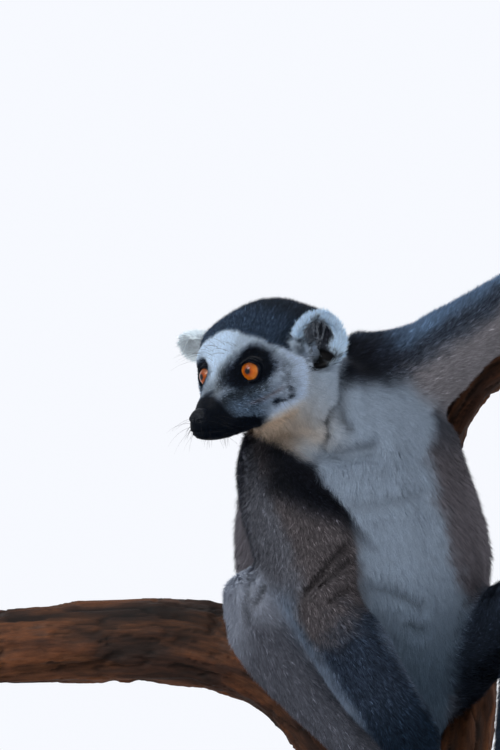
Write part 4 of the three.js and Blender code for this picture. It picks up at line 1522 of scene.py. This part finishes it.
def nose_material():
    m = Nodes("nose", Roughness=0.28, Specular_IOR_Level=0.06)
    tone = m.noise(m.position(), 500)
    m.colour(m.ramp(tone, (0.3, (0.001, 0.002, 0.004)), (0.7, (0.002, 0.004, 0.009))))
    cells = m.add("ShaderNodeTexVoronoi", Vector=m.position(), Scale=1500.0)
    cells.feature = "DISTANCE_TO_EDGE"
    m.bump(m.ramp(cells.outputs["Distance"], (0.0, 0), (0.16, 1)), 0.35, 0.0003)
    return m.material


eye_finish = eye_material()
for side, sign in (("left", 1), ("right", -1)):
    finish_piece(eyeball(side, sign), "eye", eye_finish, f"eye_{side}")
finish_piece(nose_pad(), "nose", nose_material(), "nose")


# ---------------------------------------------------------------- perch

BRANCH = spline([(-232, 10, 112), (-160, 12, 117), (-90, 12, 115), (-38, 10, 94), (0, 8, 50),
                 (42, 0, 12), (90, -16, -18), (140, -30, -42)], 160)
LIMB = spline([(34, 4, 6), (70, 34, 44), (78, 74, 100), (66, 92, 168), (58, 80, 232),
               (80, 62, 278), (130, 60, 316), (176, 58, 360), (196, 56, 418), (204, 54, 462)], 200)
PERCH_VOXEL = 1.9


def grain_places(points, axis):
    """Where each point of a branch is along its grain: distance run, turn round it, distance and
    direction out from its middle, and the whole length, in mm."""
    lengths = np.append(0, np.cumsum(np.linalg.norm(np.diff(axis, axis=0), axis=1)))
    nearest = nearest_on(axis, points)
    tangent = unit(np.gradient(axis, axis=0))[nearest]
    away = points - axis[nearest]
    slide = (away * tangent).sum(1)
    away = away - tangent * slide[:, None]
    out = np.linalg.norm(away, axis=1)
    side = unit(np.cross(tangent, vec(0.31, 0.95, 0.05)))
    turn = np.arctan2((away * np.cross(side, tangent)).sum(1), (away * side).sum(1))
    return lengths[nearest] + slide, turn, out, away / np.maximum(out, 1e-6)[:, None], lengths[-1]


def bark_relief(run, turn, size):
    """Height of the flaking bark: long plates with raised edges, cracks between them, and knots."""
    flat = np.column_stack([run, np.cos(turn) * size, np.sin(turn) * size])
    bend = flat + 5 * swirl(flat, 30, 71)
    plates = noise(bend * vec(0.22, 1, 1), 7.5, 75)
    ridge = np.abs(noise(bend * vec(0.16, 1, 1), 5.0, 76))
    fine = np.abs(noise(bend * vec(0.12, 1, 1), 2.2, 77))
    knots = noise(flat * vec(0.5, 1, 1), 26, 78)
    flake = step(0.05, 0.16, plates) * 1.3 + step(-0.35, -0.25, plates) * 0.8
    return flake - 1.4 * step(0.16, 0.02, ridge) + 0.5 * fine + 1.2 * knots - 1.0


def perch_piece(name, node, axis, size):
    """A length of branch, `size` mm out from its middle, under its bark and cut clean at its ends."""
    mesh = remeshed([node], PERCH_VOXEL, 0)
    points, edges, _ = arrays(mesh)
    points = smooth_shape(points, edges, 8)
    run, turn, out, away, length = grain_places(points, axis)
    at_end = (run < 1.5) | (run > length - 1.5)
    cut = at_end & (out < size - 0.5)
    relief = bark_relief(run, turn, size)
    relief = np.where(at_end, np.minimum(relief, 0) * step(size - 6, size, out), relief)
    points = points + away * relief[:, None]
    mesh.name = name
    set_points(mesh, points)
    mesh.shade_smooth()
    point_attribute(mesh, "grain", np.column_stack([run, turn * size, out]) * 0.01)
    point_attribute(mesh, "wood", np.column_stack([cut, relief * 0.2 + 0.5, out * 0.01]))
    return new_object(name, mesh)


def bark_material():
    """Dark flaking bark along the grain, and pale rings of wood on the cut ends."""
    m = Nodes("bark", Roughness=0.8, Specular_IOR_Level=0.14)
    place = m.vector("MULTIPLY", m.attribute("grain", "Vector"), (0.22, 1, 1))
    wood = m.parts_of(m.attribute("wood", "Vector"))  # on a cut end, height of the relief, distance out
    patches = m.noise(place, 5, 4, 0.6)
    bark = m.ramp(patches, (0.28, (0.010, 0.006, 0.005)), (0.45, (0.036, 0.016, 0.010)),
                  (0.58, (0.100, 0.038, 0.016)), (0.72, (0.054, 0.042, 0.038)))
    bark = m.blend("MULTIPLY", 0.8, bark, m.ramp(m.noise(place, 34, 6, 0.65), (0.3, 0.4), (0.68, 1.25)))
    hollow = m.ramp(wood["Y"], (0.18, 0.22), (0.55, 1.0), (0.8, (1.3, 1.15, 1.0)))
    bark = m.blend("MULTIPLY", 0.9, bark, hollow)
    rings = m.maths("SINE", m.maths("MULTIPLY_ADD", wood["Z"], 340.0, patches))
    cut = m.ramp(rings, (0.0, (0.42, 0.27, 0.15)), (0.8, (0.30, 0.17, 0.085)))
    m.colour(m.blend("MIX", wood["X"], bark, cut))
    m.bump(m.noise(place, 60, 5, 0.7), 0.6, 0.0012)
    return m.material


bark_finish = bark_material()
finish_piece(perch_piece("branch", "perch_branch", BRANCH, 26), "bark", bark_finish, "perch_branch")
finish_piece(perch_piece("limb", "perch_limb", LIMB, 16), "bark", bark_finish, "perch_limb")


# ---------------------------------------------------------------- display stand

def bevelled(name, bm, width, segments):
    mesh = modified(mesh_from(bm, "block"), "BEVEL", width=width * MM, segments=segments,
                    limit_method="ANGLE", angle_limit=math.radians(40))
    mesh.name = name
    mesh.shade_smooth()
    return new_object(name, mesh)


BOARD_CORNER = 0.028  # metres, as are the other sizes of the stand that the frame's boxes give
CORNER_STEPS = 14


def board():
    """The base: a flat board with round corners and a softened edge."""
    low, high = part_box("stand_base")
    bm = bmesh.new()
    rim = []
    for x, y, start in ((high.x, high.y, 0), (low.x, high.y, 1), (low.x, low.y, 2), (high.x, low.y, 3)):
        middle = Vector((x - math.copysign(BOARD_CORNER, x), y - math.copysign(BOARD_CORNER, y), low.z))
        for i in range(CORNER_STEPS + 1):
            turn = (start + i / CORNER_STEPS) * math.pi / 2
            rim.append(bm.verts.new(middle + BOARD_CORNER * Vector((math.cos(turn), math.sin(turn), 0))))
    face = bm.faces.new(rim)
    lifted = bmesh.ops.extrude_face_region(bm, geom=[face])["geom"]
    for vert in (v for v in lifted if isinstance(v, bmesh.types.BMVert)):
        vert.co.z = high.z
    bmesh.ops.recalc_face_normals(bm, faces=bm.faces)
    return bevelled("board", bm, 2.2, 4)


def rod_with_collar(side):
    """A steel rod and the collar that it stands in."""
    low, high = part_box(f"stand_rod_{side}")
    board_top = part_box("stand_base")[1].z
    middle = (low + high) / 2
    rod = ((high.x - low.x) / 2, board_top - 0.001, high.z)
    collar = (0.011, board_top, board_top + 0.006)
    bm = bmesh.new()
    for radius, bottom, top in (rod, collar):
        made = bmesh.ops.create_cone(bm, cap_ends=True, segments=48, radius1=radius, radius2=radius,
                                     depth=top - bottom)
        bmesh.ops.translate(bm, verts=made["verts"], vec=(middle.x, middle.y, (top + bottom) / 2))
    return bevelled(f"rod_{side}", bm, 0.8, 3)


def board_material():
    m = Nodes("board", Roughness=0.38, Specular_IOR_Level=0.4)
    grain = m.noise(m.vector("MULTIPLY", m.position(), (1.0, 14.0, 14.0)), 14, 6, 0.65)
    m.colour(m.ramp(grain, (0.3, (0.012, 0.010, 0.009)), (0.55, (0.030, 0.024, 0.020)),
                    (0.75, (0.052, 0.041, 0.033))))
    m.bump(grain, 0.15, 0.0005)
    return m.material


def steel_material():
    m = Nodes("steel", Metallic=1.0, Roughness=0.34)
    grain = m.noise(m.vector("MULTIPLY", m.position(), (40.0, 40.0, 1.0)), 30, 4, 0.7)
    m.colour(m.ramp(grain, (0.3, 0.30), (0.7, 0.48)))
    m.bump(grain, 0.08, 0.0003)
    return m.material


finish_piece(board(), "stand_board", board_material(), "stand_base")
steel = steel_material()
for side in SIDES:
    finish_piece(rod_with_collar(side), "stand_rod", steel, f"stand_rod_{side}")


# ---------------------------------------------------------------- floor, light and camera

CAMERA_PLACE = vec(-62.5, -2000, 284.4)
PIXELS_PER_MM = 1.6  # at the fork of the perch, in a frame 750 pixels high
FRAME_HEIGHT = 750
BACKDROP = (0.93, 0.95, 1.0, 1)
WORLD_LIGHT = 0.55  # strength of the world where the camera doesn't see it
KEY_PLACE = (-1.3, -1.5, 1.9)
FLOOR_FADE = (0.45, 1.6)  # metres from the middle over which the floor turns into the backdrop


def seen_directly(tree):
    """1 for what the camera sees, directly, in a reflection or through glass."""
    path = tree.nodes.new("ShaderNodeLightPath").outputs
    mirrored_ray = maths(tree, "MAXIMUM", path["Is Camera Ray"], path["Is Glossy Ray"])
    return maths(tree, "MAXIMUM", mirrored_ray, path["Is Transmission Ray"])


def floor_material():
    """Pale near the model, where it takes the shadow, and the backdrop's own white further out."""
    m = Nodes("floor", Base_Color=(0.88, 0.88, 0.88, 1), Roughness=0.9, Specular_IOR_Level=0.1)
    fade = m.add("ShaderNodeMapRange", Value=m.vector("LENGTH", m.position()),
                 From_Min=FLOOR_FADE[0], From_Max=FLOOR_FADE[1])
    fade.interpolation_type = "SMOOTHSTEP"
    share = m.maths("MULTIPLY", fade.outputs["Result"], seen_directly(m.tree))
    backdrop = m.add("ShaderNodeEmission", Color=BACKDROP)
    blend = m.add("ShaderNodeMixShader", Fac=share)
    feed(m.tree, blend.inputs[1], m.shader.outputs["BSDF"])
    feed(m.tree, blend.inputs[2], backdrop.outputs["Emission"])
    feed(m.tree, m.tree.nodes["Material Output"].inputs["Surface"], blend.outputs["Shader"])
    return m.material


def floor():
    bm = bmesh.new()
    bmesh.ops.create_grid(bm, x_segments=1, y_segments=1, size=30)
    mesh = mesh_from(bm, "floor")
    mesh.materials.append(floor_material())
    new_object("floor", mesh)


def area_light(name, place, size, energy, colour=(1, 1, 1)):
    """A square lamp that faces the middle of the model."""
    lamp = bpy.data.lights.new(name, "AREA")
    lamp.energy = energy
    lamp.size = size
    lamp.color = colour
    obj = new_object(name, lamp)
    obj.location = place
    obj.rotation_euler = (Vector((0, 0, 0.5)) - obj.location).to_track_quat("-Z", "Y").to_euler()
    return obj


def world():
    """Even light all round, and a white background for the camera."""
    scene_world = bpy.data.worlds.new("studio")
    bpy.context.scene.world = scene_world
    scene_world.use_nodes = True
    tree = scene_world.node_tree
    background = tree.nodes["Background"]
    strength = maths(tree, "MULTIPLY_ADD", seen_directly(tree), 1 - WORLD_LIGHT, WORLD_LIGHT)
    feed(tree, background.inputs["Color"], BACKDROP)
    feed(tree, background.inputs["Strength"], strength)


def camera():
    lens = bpy.data.cameras.new("camera")
    obj = new_object("camera", lens)
    obj.location = placed(CAMERA_PLACE)
    obj.rotation_euler = (math.pi / 2, 0, 0)
    lens.sensor_fit = "VERTICAL"
    lens.sensor_height = 36.0
    lens.lens = lens.sensor_height * -CAMERA_PLACE[1] * PIXELS_PER_MM / FRAME_HEIGHT
    lens.clip_end = 100
    bpy.context.scene.camera = obj


floor()
world()
area_light("key", KEY_PLACE, 1.0, 27)
spark = area_light("spark", KEY_PLACE, 0.5, 90)  # a small bright pane that only the eyes reflect
spark.visible_diffuse = False
area_light("rim", (-1.1, -0.3, 1.6), 0.6, 4.0, (0.72, 0.86, 1.0))
area_light("fill", (1.8, -1.6, 1.0), 1.8, 9)
area_light("back", (0.6, 1.8, 1.8), 1.6, 14)
camera()
bpy.context.scene.view_settings.view_transform = "Standard"
